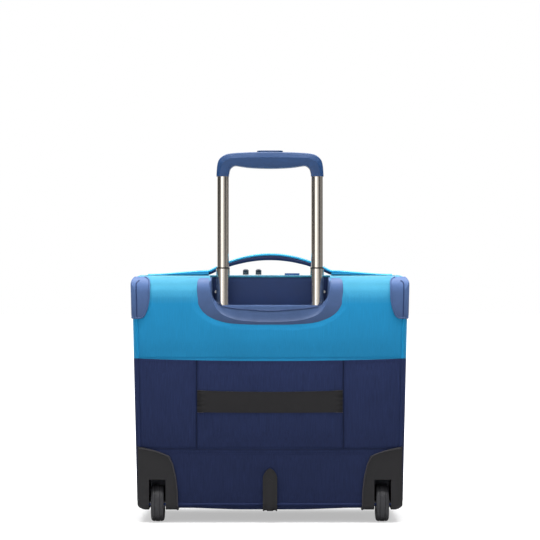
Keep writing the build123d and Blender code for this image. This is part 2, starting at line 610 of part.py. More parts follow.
def make_carry_handle():
    """Arched strap with its pad, and the two flat ends of the strap that are sewn to the top."""
    end_low = STRAP_END_Z - STRAP_THICKNESS
    pad_low = end_low - 0.6
    half = HANDLE_HALF - JOINT_GAP / 2
    crown = CASE_TOP_Z + HANDLE_RISE
    y_low = HANDLE_Y - HANDLE_WIDTH / 2
    y_high = HANDLE_Y + HANDLE_WIDTH / 2
    over = ThreePointArc((-half, STRAP_END_Z), (0, crown), (half, STRAP_END_Z))
    between = ThreePointArc((-half, end_low), (0, crown - STRAP_THICKNESS), (half, end_low))
    under = ThreePointArc((-half, pad_low), (0, CASE_TOP_Z + HANDLE_PAD_RISE), (half, pad_low))
    ends = Line((-half, STRAP_END_Z), (-half, end_low)) + Line((half, STRAP_END_Z), (half, end_low))
    write(rear_prism(make_face(over + between + ends), y_low, y_high), "handle_strap")
    ends = Line((-half, end_low), (-half, pad_low)) + Line((half, end_low), (half, pad_low))
    write(rear_prism(make_face(between + under + ends), y_low, y_high), "handle_pad")
    near = HANDLE_HALF + JOINT_GAP / 2
    wing = polygon((near, STRAP_END_Z), (near, end_low), (STRAP_HALF - 24, CASE_TOP_Z), (STRAP_HALF, CASE_TOP_Z),
                   (STRAP_HALF, CASE_TOP_Z + STRAP_THICKNESS))
    write(pair(rear_prism(wing, y_low, y_high)), "strap_ends")


def arch_outline(half, top):
    """Rear outline of a pointed arch that runs down past the bottom."""
    spring = top - 1.7 * half
    left = ThreePointArc((-half, spring), (-half * 0.72, top - 0.62 * half), (0, top))
    right = ThreePointArc((0, top), (half * 0.72, top - 0.62 * half), (half, spring))
    return make_face(left + right + Polyline((half, spring), (half, 0), (-half, 0), (-half, spring)))


def make_guards():
    """Moulded corner guards, centre skid and front feet."""
    layer = case_skin(0, GUARD_PROUD)
    write(pair(layer & GUARD_ZONES[0]), "corner_guards")
    reach = REAR_Y + 34
    skid = case_skin(0, SKID_PROUD - RIM_PROUD) & rear_prism(arch_outline(SKID_HALF, SKID_TOP_Z), REAR_Y - 20, reach)
    ring = rear_prism(arch_outline(SKID_HALF, SKID_TOP_Z), REAR_Y - 20, reach)
    ring = ring - rear_prism(arch_outline(SKID_HALF - RIM_WIDTH, SKID_TOP_Z - RIM_WIDTH), REAR_Y - 30, reach + 5)
    rib = rear_prism(arch_outline(SKID_RIB_HALF, SKID_TOP_Z - 17), REAR_Y - 20, reach)
    raised = case_skin(SKID_PROUD - RIM_PROUD, SKID_PROUD)
    write(skid + (raised & ring) + (raised & rib), "skid_guard")
    foot_front = LID_FACE_Y - 14
    foot = block(FOOT_X - FOOT_WIDTH / 2, FOOT_X + FOOT_WIDTH / 2, foot_front - FOOT_DEPTH, foot_front,
                 0, CASE_BOTTOM_Z)
    foot = fillet(foot.edges().filter_by(Axis.Z), FOOT_WIDTH / 2 - 1)
    write(pair(chamfer(foot.faces().sort_by(Axis.Z)[0].edges(), 1.5)), "front_feet")


def make_wheels():
    """Housings, axles, hubs and tyres."""
    layer = case_skin(0, HOUSING_PROUD)
    side_shape = polygon((REAR_Y - 20, -20), (REAR_Y + 58, -20), (REAR_Y + 58, 60), (REAR_Y + 26, CASE_BOTTOM_Z + 120),
                         (REAR_Y - 20, CASE_BOTTOM_Z + 120))
    zone = HOUSING_ZONES[0] & side_prism(side_shape, 0, CASE_WIDTH)
    rim = zone - rear_prism(housing_outline(RIM_WIDTH), REAR_Y - 30, REAR_Y + 70)
    rim = case_skin(HOUSING_PROUD, HOUSING_PROUD + RIM_PROUD) & rim
    liner = wheel_well(HOUSING_WALL) & case_form(0)
    radius = WHEEL_DIAMETER / 2
    half = WHEEL_WIDTH / 2
    outside = half + WHEEL_SIDE_GAP + HOUSING_WALL
    cap = 2.0
    shell = (layer & zone) + liner + rim - wheel_well(0)
    shell = shell - level(AXLE_RADIUS, AXLE_Y, AXLE_Z, WHEEL_X - outside, WHEEL_X + outside)
    axle = level(AXLE_RADIUS, AXLE_Y, AXLE_Z, WHEEL_X - outside, WHEEL_X + outside)
    hub_radius = radius - TYRE_THICKNESS
    hub = level(hub_radius, AXLE_Y, AXLE_Z, WHEEL_X - half + 1, WHEEL_X + half - 1)
    for face_x in (WHEEL_X - half + 1, WHEEL_X + half - 1 - cap):
        ring = level(hub_radius - 3, AXLE_Y, AXLE_Z, face_x, face_x + cap)
        hub = hub - (ring - level(AXLE_RADIUS + 5, AXLE_Y, AXLE_Z, face_x, face_x + cap))
    hub = hub - level(AXLE_RADIUS + RUNNING_GAP, AXLE_Y, AXLE_Z, WHEEL_X - half, WHEEL_X + half)
    tyre = level(radius, AXLE_Y, AXLE_Z, WHEEL_X - half, WHEEL_X + half)
    tyre = fillet(tyre.edges(), 5) - level(hub_radius, AXLE_Y, AXLE_Z, WHEEL_X - half, WHEEL_X + half)
    write(pair(axle), "wheel_axles")
    for shape, node in ((shell, "wheel_housing"), (hub, "wheel_hub"), (tyre, "tyre")):
        write(shape, f"{node}_right")
        write(mirrored(shape), f"{node}_left")


def slider_shape():
    """Zip slider lying on Z 0 with its bar along X, zip along X, centred on the origin."""
    body = fillet(Box(SLIDER_LENGTH, SLIDER_WIDTH, SLIDER_HEIGHT).edges().filter_by(Axis.Z), 1.5)
    body = Pos(0, 0, SLIDER_HEIGHT / 2) * body
    bar_z = SLIDER_HEIGHT + BAR_LIFT
    bar = level(PULL_BAR_RADIUS, 0, bar_z, -SLIDER_LENGTH / 2, SLIDER_LENGTH / 2)
    for x in (-SLIDER_LENGTH / 2 + 0.5, SLIDER_LENGTH / 2 - 0.5):
        bar = bar + Pos(x, 0, SLIDER_HEIGHT + BAR_LIFT / 2) * Box(1.0, 2 * PULL_BAR_RADIUS, BAR_LIFT + 0.6)
    return body + bar


def pull_shape(droop):
    """Pull tab along +Y, tipped down by droop degrees, its eye round the slider's bar."""
    bar_z = SLIDER_HEIGHT + BAR_LIFT
    eye = PULL_BAR_RADIUS + PULL_EYE_GAP
    half = (SLIDER_LENGTH - 2 - 2 * PULL_EYE_GAP) / 2
    ring = level(eye + 1.0, 0, bar_z, -half, half)
    tab = block(-PULL_WIDTH / 2, PULL_WIDTH / 2, SLIDER_WIDTH / 2 + 0.6, PULL_LENGTH, bar_z - PULL_THICKNESS / 2,
                bar_z + PULL_THICKNESS / 2)
    tab = fillet(tab.edges().filter_by(Axis.Z).sort_by(Axis.Y)[-2:], 2.5)
    neck = block(-half, half, 0, SLIDER_WIDTH / 2 + 0.6, bar_z - PULL_THICKNESS / 2, bar_z + PULL_THICKNESS / 2)
    whole = ring + neck + tab - level(eye, 0, bar_z, -SLIDER_LENGTH, SLIDER_LENGTH)
    return Pos(0, 0, bar_z) * Rot(-droop, 0, 0) * Pos(0, 0, -bar_z) * whole


def make_zip_hardware():
    """Sliders and pulls on the main zip and on the lid's face zip, and the dock beside the main zip."""
    top = CASE_TOP_Z + TEETH_PROUD + SLIDER_LIFT
    for name, x in zip(("a", "b"), SLIDER_PLACES):
        place = Pos(x, ZIP_Y, top)
        write(place * slider_shape(), f"zip_slider_{name}")
        write(place * pull_shape(PULL_DROOP), f"zip_pull_{name}")
    place = Pos(FACE_SLIDER_X, LID_FACE_Y + 1.2 + 0.3, FACE_ZIP_Z) * Rot(-90, 0, 0)
    write(place * slider_shape(), "face_zip_slider")
    write(place * pull_shape(0), "face_zip_pull")
    dock = block(23, 46, ZIP_Y - 26, ZIP_Y - 8, CASE_TOP_Z, CASE_TOP_Z + 4)
    write(fillet(dock.edges().filter_by(Axis.Z), 3), "zip_dock")


os.makedirs("parts", exist_ok=True)
make_rear_panels()
make_gusset()
make_lid()
make_inside()
make_band()
make_tray()
make_fixed_tubes()
make_stage1()
make_stage2()
make_grip()
make_carry_handle()
make_guards()
make_wheels()
make_zip_hardware()
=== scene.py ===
"""Looks for a soft-sided rolling laptop case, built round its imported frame.

Lengths are in metres. +Z is up, the rear with the trolley handle faces -Y and the lid faces +Y.
Each operator builds one piece or one group of like pieces.
"""

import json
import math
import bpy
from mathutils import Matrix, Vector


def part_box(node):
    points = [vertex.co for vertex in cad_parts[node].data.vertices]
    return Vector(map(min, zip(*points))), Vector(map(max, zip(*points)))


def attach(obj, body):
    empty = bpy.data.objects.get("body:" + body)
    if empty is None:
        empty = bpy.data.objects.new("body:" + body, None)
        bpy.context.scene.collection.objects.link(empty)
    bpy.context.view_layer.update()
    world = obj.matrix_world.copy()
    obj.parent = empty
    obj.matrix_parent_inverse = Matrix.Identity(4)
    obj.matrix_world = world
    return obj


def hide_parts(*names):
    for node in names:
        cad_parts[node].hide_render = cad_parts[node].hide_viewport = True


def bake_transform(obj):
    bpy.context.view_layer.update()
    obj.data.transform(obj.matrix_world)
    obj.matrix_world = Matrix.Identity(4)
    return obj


bl_info = {
    "name": "Rolling Laptop Case",
    "version": (1, 0, 0),
    "blender": (4, 5, 0),
    "location": "View3D > Sidebar > Laptop Case",
    "description": "Builds the fabric, mouldings, hardware and studio of a rolling laptop case",
    "category": "Object",
}

import bmesh
import bpy
from mathutils import Matrix, Vector, noise

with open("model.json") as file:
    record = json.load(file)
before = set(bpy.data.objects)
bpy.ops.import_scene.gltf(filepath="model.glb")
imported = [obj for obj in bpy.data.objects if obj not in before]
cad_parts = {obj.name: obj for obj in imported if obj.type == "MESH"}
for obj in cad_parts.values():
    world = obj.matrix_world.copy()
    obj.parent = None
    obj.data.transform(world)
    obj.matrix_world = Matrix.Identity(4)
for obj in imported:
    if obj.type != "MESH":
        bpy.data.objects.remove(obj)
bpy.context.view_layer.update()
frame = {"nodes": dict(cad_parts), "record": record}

MM = 0.001


# ---- Places read from the frame ----

BOXES = {node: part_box(node) for node in frame["nodes"]}


def low(node):
    """Lowest corner of a node."""
    return BOXES[node][0]


def high(node):
    """Highest corner of a node."""
    return BOXES[node][1]


REAR_Y = low("rear_panel_centre").y
TOP_Z = high("top_panel").z
BOTTOM_Z = low("bottom_panel").z
LID_Y = low("face_zip_chain").y
CASE_ZIP_Y = low("zip_chain_case").y
LID_ZIP_Y = high("zip_chain_lid").y
HINGE_Z = high("front_lower_panel").z
HINGE_HALF = high("front_lower_panel").x
WIDE_HALF = high("side_panels_upper").x
COLOUR_Z = low("rear_panel_upper").z
SEAM_Z = low("rear_panel_centre").z
CENTRE_HALF = high("rear_panel_centre").x
CORNER = 13 * MM
EDGE = 6 * MM
ROLL = 24 * MM
SEAM_INSET = 6.6 * MM
SEAM_BOW = 2.2 * MM
COLOUR_BOW = 4.0 * MM
TUBE_Y = (low("fixed_tubes").y + high("fixed_tubes").y) / 2
TUBE_X = high("fixed_tubes").x - (high("fixed_tubes").y - low("fixed_tubes").y) / 2
TAPER = (WIDE_HALF - HINGE_HALF) / (TOP_Z - CORNER - HINGE_Z)
CLOTH_WALL = 2.2 * MM
SIDES = ((1, "right"), (-1, "left"))


def straight_half(z):
    """Half the case's width at height z, without its rounded corners."""
    return HINGE_HALF + TAPER * (z - HINGE_Z)


def outline_half(z, inset=0.0):
    """Half the case's width at height z, inset all round, with its rounded corners."""
    radius = max(CORNER - inset, 0.5 * MM)
    upper = TOP_Z - CORNER
    lower = BOTTOM_Z + CORNER
    if z > upper:
        drop = min((z - upper) / radius, 1.0)
        return straight_half(upper) - CORNER + radius * math.sqrt(1 - drop * drop)
    if z < lower:
        drop = min((lower - z) / radius, 1.0)
        return straight_half(lower) - CORNER + radius * math.sqrt(1 - drop * drop)
    return straight_half(z) - inset


def roll_y(z, lift=0.0):
    """Where the rear surface, lifted outwards, lies as it rolls over the top edge."""
    rise = z - (TOP_Z - ROLL)
    if rise <= 0:
        return REAR_Y - lift
    radius = ROLL + lift
    return REAR_Y + ROLL - math.sqrt(max(radius * radius - rise * rise, 0.0))


def outline_at(run, inset=0.0):
    """Point on the case's outline.

    Run 0 is the top's middle, 1 to 2 the top corner, 2 to 3 the side, 3 to 4 the lower corner, 5 the bottom's middle.
    """
    upper = TOP_Z - CORNER
    lower = BOTTOM_Z + CORNER
    radius = CORNER - inset
    top_x = straight_half(upper) - CORNER
    low_x = straight_half(lower) - CORNER
    if run <= 1:
        return run * top_x, TOP_Z - inset
    if run <= 2:
        turn = (run - 1) * math.pi / 2
        return top_x + radius * math.sin(turn), upper + radius * math.cos(turn)
    if run <= 3:
        z = upper + (run - 2) * (lower - upper)
        return straight_half(z) - inset, z
    if run <= 4:
        turn = (run - 3) * math.pi / 2
        return low_x + radius * math.cos(turn), lower - radius * math.sin(turn)
    return low_x * (5 - run), BOTTOM_Z + inset


def side_run(z):
    """The run, as outline_at takes it, of a height on the straight side."""
    upper = TOP_Z - CORNER
    lower = BOTTOM_Z + CORNER
    return 2 + (upper - z) / (upper - lower)


def smooth(value):
    """Smooth step from 0 to 1."""
    value = min(max(value, 0.0), 1.0)
    return value * value * (3 - 2 * value)


def hump(distance, width):
    """Round bump of height 1 at distance 0."""
    return math.exp(-((distance / width) ** 2))


def wrinkle(x, y, z, scale, seed):
    """Slow irregular swell, from -1 to 1."""
    return noise.noise(Vector((x * scale + seed, y * scale, z * scale)))


# ---- Mesh helpers ----


def finish_mesh(bm, name, sharp_degrees=40):
    """Turn a bmesh into a smooth-shaded object with sharp creases."""
    limit = math.radians(sharp_degrees)
    for face in bm.faces:
        face.smooth = True
    for edge in bm.edges:
        edge.smooth = len(edge.link_faces) == 2 and edge.calc_face_angle(0.0) < limit
    mesh = bpy.data.meshes.new(name)
    bm.to_mesh(mesh)
    bm.free()
    piece = bpy.data.objects.new(name, mesh)
    bpy.context.scene.collection.objects.link(piece)
    return piece


def formed_bmesh(across, along, place, wrap=False, cap=False, drop=None):
    """Grid whose points place(u, v) puts, u and v from 0 to 1; wrap joins u 0 to u 1, and cap closes the ends."""
    bm = bmesh.new()
    bmesh.ops.create_grid(bm, x_segments=across, y_segments=along, size=0.5)
    layer = bm.loops.layers.uv.new("cloth")
    for face in bm.faces:
        for loop in face.loops:
            loop[layer].uv = (loop.vert.co.x + 0.5, loop.vert.co.y + 0.5)
    for vert in bm.verts:
        vert.co = place(vert.co.x + 0.5, vert.co.y + 0.5)
    if drop:
        gone = [face for face in bm.faces if drop(face.calc_center_median())]
        bmesh.ops.delete(bm, geom=gone, context="FACES")
    if wrap:
        bmesh.ops.remove_doubles(bm, verts=bm.verts, dist=0.005 * MM)
    if cap:
        rims = [edge for edge in bm.edges if len(edge.link_faces) == 1]
        bmesh.ops.holes_fill(bm, edges=rims)
    return bm


def face_outwards(bm):
    """Recalculate normals on a closed or nearly closed mesh."""
    bmesh.ops.recalc_face_normals(bm, faces=bm.faces)


def mirror_copy(bm):
    """Add the mirror image across X 0, with its faces turned the right way."""
    copy = bmesh.ops.duplicate(bm, geom=bm.verts[:] + bm.edges[:] + bm.faces[:])["geom"]
    verts = [item for item in copy if isinstance(item, bmesh.types.BMVert)]
    faces = [item for item in copy if isinstance(item, bmesh.types.BMFace)]
    bmesh.ops.scale(bm, vec=(-1, 1, 1), verts=verts)
    bmesh.ops.reverse_faces(bm, faces=faces)


def point_faces(bm, direction):
    """Turn an open sheet so that its faces point roughly along direction."""
    total = Vector()
    for face in bm.faces:
        face.normal_update()
        total += face.normal * face.calc_area()
    if total.dot(direction) < 0:
        bmesh.ops.reverse_faces(bm, faces=bm.faces)


def thicken(piece, thickness, inner_slot=0):
    """Give a sheet its thickness on its inner side."""
    wall = piece.modifiers.new("thickness", "SOLIDIFY")
    wall.thickness = thickness
    wall.offset = -1
    wall.material_offset = inner_slot
    return piece


def dress(piece, body, *materials, slot=None, replaces=()):
    """Give a piece its materials, the nodes that it stands for and its body, or no body if none is given."""
    for item in materials:
        piece.data.materials.append(item)
    if body:
        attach(piece, body)
    if replaces:
        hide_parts(*replaces)
    return piece


def clothe(piece, body, cloth, node):
    """Dress a panel of turquoise or navy cloth, lined and as thick as the shell."""
    thicken(piece, CLOTH_WALL, 1)
    return dress(piece, body, finish(cloth), finish("lining"), slot=f"fabric_{cloth}", replaces=[node])


def signed_power(value, power):
    """A value's size to a power, with the value's sign."""
    return math.copysign(abs(value) ** power, value)


def formed(name, columns, rows, place, toward, *crease, drop=None, mirror=False):
    """Open sheet that faces toward a direction, carried on to its mirror image if asked."""
    bm = formed_bmesh(columns, rows, place, drop=drop)
    point_faces(bm, Vector(toward))
    if mirror:
        mirror_copy(bm)
        bmesh.ops.remove_doubles(bm, verts=bm.verts, dist=0.05 * MM)
    return finish_mesh(bm, name, *crease)


def stuffed(name, columns, rows, place):
    """Closed cushion, capped at both ends."""
    bm = formed_bmesh(columns, rows, place, wrap=True, cap=True)
    face_outwards(bm)
    return finish_mesh(bm, name, 60)


def cord(name, points, radius, colour, slot, body="case", replaces=(), cyclic=False):
    """Round cord through points, dressed in a finish."""
    return dress(swept_tube(name, points, radius, cyclic), body, finish(colour), slot=slot, replaces=replaces)


def swept_tube(name, points, radius, cyclic=False, resolution=4):
    """Round cord through points, as a mesh."""
    curve = bpy.data.curves.new(name + ".path", "CURVE")
    curve.dimensions = "3D"
    curve.bevel_depth = radius
    curve.bevel_resolution = resolution
    curve.use_fill_caps = True
    spline = curve.splines.new("POLY")
    spline.points.add(len(points) - 1)
    for point, place in zip(spline.points, points):
        point.co = (*place, 1)
    spline.use_cyclic_u = cyclic
    holder = bpy.data.objects.new(name + ".path", curve)
    bpy.context.scene.collection.objects.link(holder)
    mesh = bpy.data.meshes.new_from_object(holder.evaluated_get(bpy.context.evaluated_depsgraph_get()))
    bpy.data.objects.remove(holder)
    bpy.data.curves.remove(curve)
    mesh.name = name
    piece = bpy.data.objects.new(name, mesh)
    bpy.context.scene.collection.objects.link(piece)
    for polygon in mesh.polygons:
        polygon.use_smooth = True
    return piece


def stitch_row(bm, path, pitch=3.2 * MM, length=2.3 * MM, radius=0.32 * MM):
    """Add a row of short thread stitches along a list of points."""
    carried = 0.0
    for start, end in zip(path, path[1:]):
        span = (end - start).length
        if span == 0:
            continue
        along = (end - start) / span
        turn = along.to_track_quat("X", "Z").to_matrix().to_4x4()
        while carried < span:
            spot = Matrix.Translation(start + along * carried)
            shape = Matrix.Diagonal((length / 2, radius, radius, 1))
            bmesh.ops.create_icosphere(bm, subdivisions=1, radius=1.0, matrix=spot @ turn @ shape)
            carried += pitch
        carried -= span


def stitched(name, rows, body, thread, pitch=3.2 * MM):
    """One piece of stitching made of several rows."""
    bm = bmesh.new()
    for row in rows:
        stitch_row(bm, row, pitch)
    return dress(finish_mesh(bm, name, 80), body, thread)


# ---- Material helpers ----


class Recipe:
    """A node material being put together."""

    def __init__(self, name):
        self.material = bpy.data.materials.new(name)
        self.material.use_nodes = True
        self.tree = self.material.node_tree
        self.tree.nodes.clear()
        self.shader = self.tree.nodes.new("ShaderNodeBsdfPrincipled")
        output = self.tree.nodes.new("ShaderNodeOutputMaterial")
        self.join(self.shader.outputs["BSDF"], output.inputs["Surface"])

    def join(self, source, target):
        self.tree.links.new(source, target)

    def node(self, kind, settings=None, **inputs):
        made = self.tree.nodes.new("ShaderNode" + kind)
        for key, value in (settings or {}).items():
            setattr(made, key, value)
        for key, value in inputs.items():
            self.feed(made.inputs[key.replace("_", " ")], value)
        return made

    def feed(self, socket, value):
        if isinstance(value, bpy.types.NodeSocket):
            self.join(value, socket)
        else:
            socket.default_value = value

    def stretched(self, scale):
        """Object coordinates stretched by a scale for each axis."""
        place = self.node("TexCoord").outputs["Object"]
        return self.node("Mapping", Vector=place, Scale=scale).outputs["Vector"]

    def noise(self, scale, detail=2.0, roughness=0.5):
        """Noise with its own scale in repeats per metre for each axis."""
        field = self.node("TexNoise", Vector=self.stretched(scale), Scale=1.0, Detail=detail, Roughness=roughness)
        return field.outputs["Fac"]

    def wave(self, scale, axis):
        """Even ridges across one axis, in repeats per metre."""
        settings = {"wave_type": "BANDS", "bands_direction": axis}
        stretch = [0.0, 0.0, 0.0]
        stretch["XYZ".index(axis)] = scale / 20 * 2 * math.pi
        return self.node("TexWave", settings, Vector=self.stretched(stretch), Scale=1.0).outputs["Fac"]

    def math(self, operation, first, second):
        made = self.node("Math", {"operation": operation})
        self.feed(made.inputs[0], first)
        self.feed(made.inputs[1], second)
        return made.outputs[0]

    def blend(self, factor, first, second):
        made = self.node("Mix", {"data_type": "RGBA"})
        self.feed(made.inputs[0], factor)
        self.feed(made.inputs[6], first)
        self.feed(made.inputs[7], second)
        return made.outputs[2]

    def spread(self, value, low_from, high_from, low_to, high_to):
        made = self.node("MapRange", Value=value)
        for place, number in enumerate((low_from, high_from, low_to, high_to), 1):
            made.inputs[place].default_value = number
        return made.outputs[0]

    def bump(self, height, distance, strength=1.0, normal=None):
        made = self.node("Bump", Height=height, Distance=distance, Strength=strength)
        if normal is not None:
            self.join(normal, made.inputs["Normal"])
        return made.outputs["Normal"]

    def painted_height_light(self, colour, span):
        """A colour darkened or lightened with height, as painted light and shade: lowest and highest height, and the
        factor at each.
        """
        parts = self.node("SeparateXYZ", Vector=self.node("TexCoord").outputs["Object"])
        made = self.node("Mix", {"data_type": "RGBA", "blend_type": "MULTIPLY"})
        made.inputs[0].default_value = 1.0
        self.feed(made.inputs[6], colour)
        self.feed(made.inputs[7], self.spread(parts.outputs["Z"], *span))
        return made.outputs[2]

    def set(self, **inputs):
        for key, value in inputs.items():
            self.feed(self.shader.inputs[key.replace("_", " ")], value)


def shade(colour, factor):
    """A colour made lighter or darker."""
    return (*(min(channel * factor, 1.0) for channel in colour[:3]), 1.0)


def woven_cloth(name, colour, streak=0.25, thread=0.55 * MM, sheen=0.35, roughness=0.78, streak_length=40,
                tint=None, span=(0.0, 1.0, 1.0, 1.0), roll_highlight=None):
    """Plain weave with long uneven streaks down it, as in a two-tone polyester; its colour can be painted darker or
    lighter with height as shade and light, and given a painted highlight on the roll under the top edge.
    """
    mix = Recipe(name)
    repeats = 1 / thread
    streaks = mix.noise((repeats, repeats, streak_length), 3.0, 0.65)
    cloud = mix.noise((14, 14, 14), 2.0)
    tone = mix.spread(streaks, 0.3, 0.7, 1 - streak, 1 + streak)
    tone = mix.math("MULTIPLY", tone, mix.spread(cloud, 0.3, 0.7, 0.95, 1.05))
    tone = mix.spread(tone, 0.6, 1.4, 0.0, 1.0)
    # Painted light and shade: span darkens or lightens the colour with height.
    light = mix.painted_height_light(mix.blend(tone, shade(colour, 0.72), shade(colour, 1.32)), span)
    # Painted highlight: a paler copy of the colour blended in on the roll under the top edge, then painted shade
    # darkening the last few millimetres up to the edge.
    if roll_highlight:
        upper = mix.blend(tone, shade(roll_highlight, 0.72), shade(roll_highlight, 1.32))
        height = mix.node("SeparateXYZ", Vector=mix.node("TexCoord").outputs["Object"]).outputs["Z"]
        light = mix.blend(mix.spread(height, TOP_Z - 42 * MM, TOP_Z - 14 * MM, 0.0, 1.0), light, upper)
        light = mix.painted_height_light(light, (TOP_Z - 16 * MM, TOP_Z - 2 * MM, 1.0, 0.66))
    mix.set(Base_Color=light, Roughness=roughness, Sheen_Weight=sheen, Sheen_Roughness=0.45,
            Sheen_Tint=tint or shade(colour, 1.8), Specular_IOR_Level=0.12)
    warp = mix.math("MULTIPLY", mix.wave(repeats, "X"), mix.wave(repeats, "Z"))
    height = mix.math("ADD", warp, mix.math("MULTIPLY", streaks, 0.8))
    mix.set(Normal=mix.bump(height, 0.12 * MM, 0.5))
    return mix.material


def ribbed_elastic(name, colour):
    """Elastic webbing with fine lengthwise ribs and cross ridges."""
    mix = Recipe(name)
    ribs = mix.wave(1 / (1.6 * MM), "Z")
    cross = mix.wave(1 / (1.1 * MM), "X")
    fuzz = mix.noise((500, 500, 900), 2.0)
    tone = mix.math("ADD", mix.math("MULTIPLY", ribs, 0.5), mix.math("MULTIPLY", fuzz, 0.5))
    mix.set(Base_Color=mix.blend(tone, shade(colour, 0.7), shade(colour, 1.5)), Roughness=0.86,
            Sheen_Weight=0.3, Sheen_Roughness=0.5, Specular_IOR_Level=0.25)
    height = mix.math("ADD", ribs, mix.math("MULTIPLY", cross, 0.6))
    mix.set(Normal=mix.bump(height, 0.25 * MM, 0.6))
    return mix.material


def moulded_plastic(name, colour, roughness=0.42, grain=0.35, shine=0.32, span=(0.0, 1.0, 1.0, 1.0)):
    """Satin moulded plastic with a fine spark-eroded grain and slight scuffing, its colour painted darker or lighter
    with height by span, as shade and light.
    """
    mix = Recipe(name)
    scuff = mix.noise((60, 60, 60), 4.0, 0.6)
    grainy = mix.noise((2600, 2600, 2600), 1.0)
    tone = mix.blend(mix.spread(scuff, 0.35, 0.75, 0.0, 1.0), shade(colour, 0.94), shade(colour, 1.08))
    mix.set(Base_Color=mix.painted_height_light(tone, span), Specular_IOR_Level=shine,
            Roughness=mix.spread(scuff, 0.3, 0.7, roughness - 0.05, roughness + 0.08))
    mix.set(Normal=mix.bump(grainy, 0.05 * MM, grain))
    return mix.material


def drawn_steel(name, colour, roughness=0.2):
    """Tube polished along its length, with faint vertical draw lines."""
    mix = Recipe(name)
    lines = mix.noise((900, 900, 3), 2.0, 0.6)
    marks = mix.noise((25, 25, 8), 3.0)
    mix.set(Base_Color=mix.blend(lines, shade(colour, 0.94), shade(colour, 1.04)), Metallic=1.0,
            Roughness=mix.spread(marks, 0.3, 0.7, roughness - 0.03, roughness + 0.03))
    mix.set(Normal=mix.bump(lines, 0.004 * MM, 0.2))
    return mix.material


def dark_rubber(name, colour, roughness=0.55):
    """Rubber or soft plastic with a dull worn surface."""
    mix = Recipe(name)
    wear = mix.noise((120, 120, 120), 4.0, 0.6)
    mix.set(Base_Color=mix.blend(wear, shade(colour, 0.8), shade(colour, 1.35)),
            Roughness=mix.spread(wear, 0.3, 0.7, roughness - 0.06, roughness + 0.1), Specular_IOR_Level=0.4)
    mix.set(Normal=mix.bump(mix.noise((1500, 1500, 1500), 1.0), 0.04 * MM, 0.3))
    return mix.material


def cast_metal(name, colour, roughness=0.35):
    """Plated die-cast zinc."""
    mix = Recipe(name)
    patina = mix.noise((400, 400, 400), 3.0)
    mix.set(Base_Color=mix.blend(patina, shade(colour, 0.8), shade(colour, 1.2)), Metallic=1.0,
            Roughness=mix.spread(patina, 0.3, 0.7, roughness - 0.06, roughness + 0.08))
    return mix.material


MATERIALS = {}


def finish(name):
    """A finish made by the materials operator."""
    return MATERIALS[name]


# ---- Settings ----


def colour_setting(name, what, default):
    """Colour that the sidebar can change."""
    return bpy.props.FloatVectorProperty(
        name=name, description=f"Colour of {what}", subtype="COLOR", size=3, default=default, min=0, max=1)


def size_setting(name, description, default, least, most, unit="LENGTH"):
    """Number that the sidebar can change."""
    return bpy.props.FloatProperty(
        name=name, description=description, unit=unit, default=default, min=least, max=most)


class FabricSettings(bpy.types.PropertyGroup):
    """Colours and sizes of the cloth."""

    turquoise: colour_setting("Upper cloth", "the upper cloth", (0.011, 0.245, 0.5))
    # Painted highlight: paler colour of the upper cloth on the roll under the top edge.
    roll_highlight: colour_setting("Upper cloth at the roll", "the upper cloth near the top edge", (0.068, 0.36, 0.55))
    navy: colour_setting("Lower cloth", "the lower cloth", (0.02, 0.031, 0.094))
    pad: colour_setting("Handle pad", "the carry handle's pad", (0.036, 0.044, 0.11))
    # Turquoise webbing, made paler than the upper cloth as painted light.
    strap: colour_setting("Strap", "the carry handle's webbing", (0.06, 0.47, 0.78))
    lining: colour_setting("Lining", "the lining", (0.16, 0.17, 0.2))
    band: colour_setting("Band", "the elastic band", (0.0108, 0.0102, 0.0115))
    puff: size_setting("Puff", "How far the padded cloth stands out between its seams", 1.4 * MM, 0, 0.006)
    piping: size_setting("Piping", "Radius of the piping at the rear edge", 1.9 * MM, 0.0005, 0.004)


class MouldingSettings(bpy.types.PropertyGroup):
    """Colours of the mouldings and metal."""

    tray: colour_setting("Tray", "the tray and guards", (0.063, 0.112, 0.25))
    # Painted shade: the darker colour of the tray's well wall and of the crease cords round the tray and guards.
    well: colour_setting("Well", "the tray's inside and creases", (0.014, 0.035, 0.118))
    grip: colour_setting("Grip", "the grip", (0.006, 0.046, 0.155))
    black: colour_setting("Black plastic", "the wheel housings and skid", (0.0102, 0.0097, 0.0116))
    steel: colour_setting("Tubes", "the trolley tubes", (0.72, 0.67, 0.61))
    guard_rim: size_setting("Guard rim", "Radius of the rim round a corner guard", 1.224 * MM, 0, 0.003)


class StudioSettings(bpy.types.PropertyGroup):
    """Camera and light."""

    distance: size_setting("Camera distance", "From the camera to the rear panel", 3.1, 0.5, 10)
    view_width: size_setting("View width", "Width seen at the rear panel", 0.81, 0.3, 3)
    eye_height: size_setting("Eye height", "Height of the camera", 0.379, 0, 3)
    key_power: size_setting("Key power", "Power of the overhead softbox", 36.5, 0, 500, unit="POWER")


# ---- Fabric pieces ----


def near_seam(distance, reach=5 * MM):
    """From 1 at a seam to 0 at reach."""
    return 1 - smooth(distance / reach)


TRAY_SWEEP = Vector((76 * MM, 37 * MM))


def tray_gap(x, z):
    """How far a point of the rear lies outside the tray's outline."""
    box_low, box_high = BOXES["trolley_tray"]
    flat = box_high.x - TRAY_SWEEP.x
    turn = box_low.z + TRAY_SWEEP.y
    if z >= turn:
        return abs(x) - box_high.x
    if abs(x) <= flat:
        return box_low.z - z
    ring = math.hypot((abs(x) - flat) / TRAY_SWEEP.x, (turn - z) / TRAY_SWEEP.y)
    return (1 - 1 / max(ring, 0.01)) * math.hypot(abs(x) - flat, turn - z)


def seam_half(z):
    """Half-width of the rear panels' outer seam."""
    return outline_half(z, SEAM_INSET)


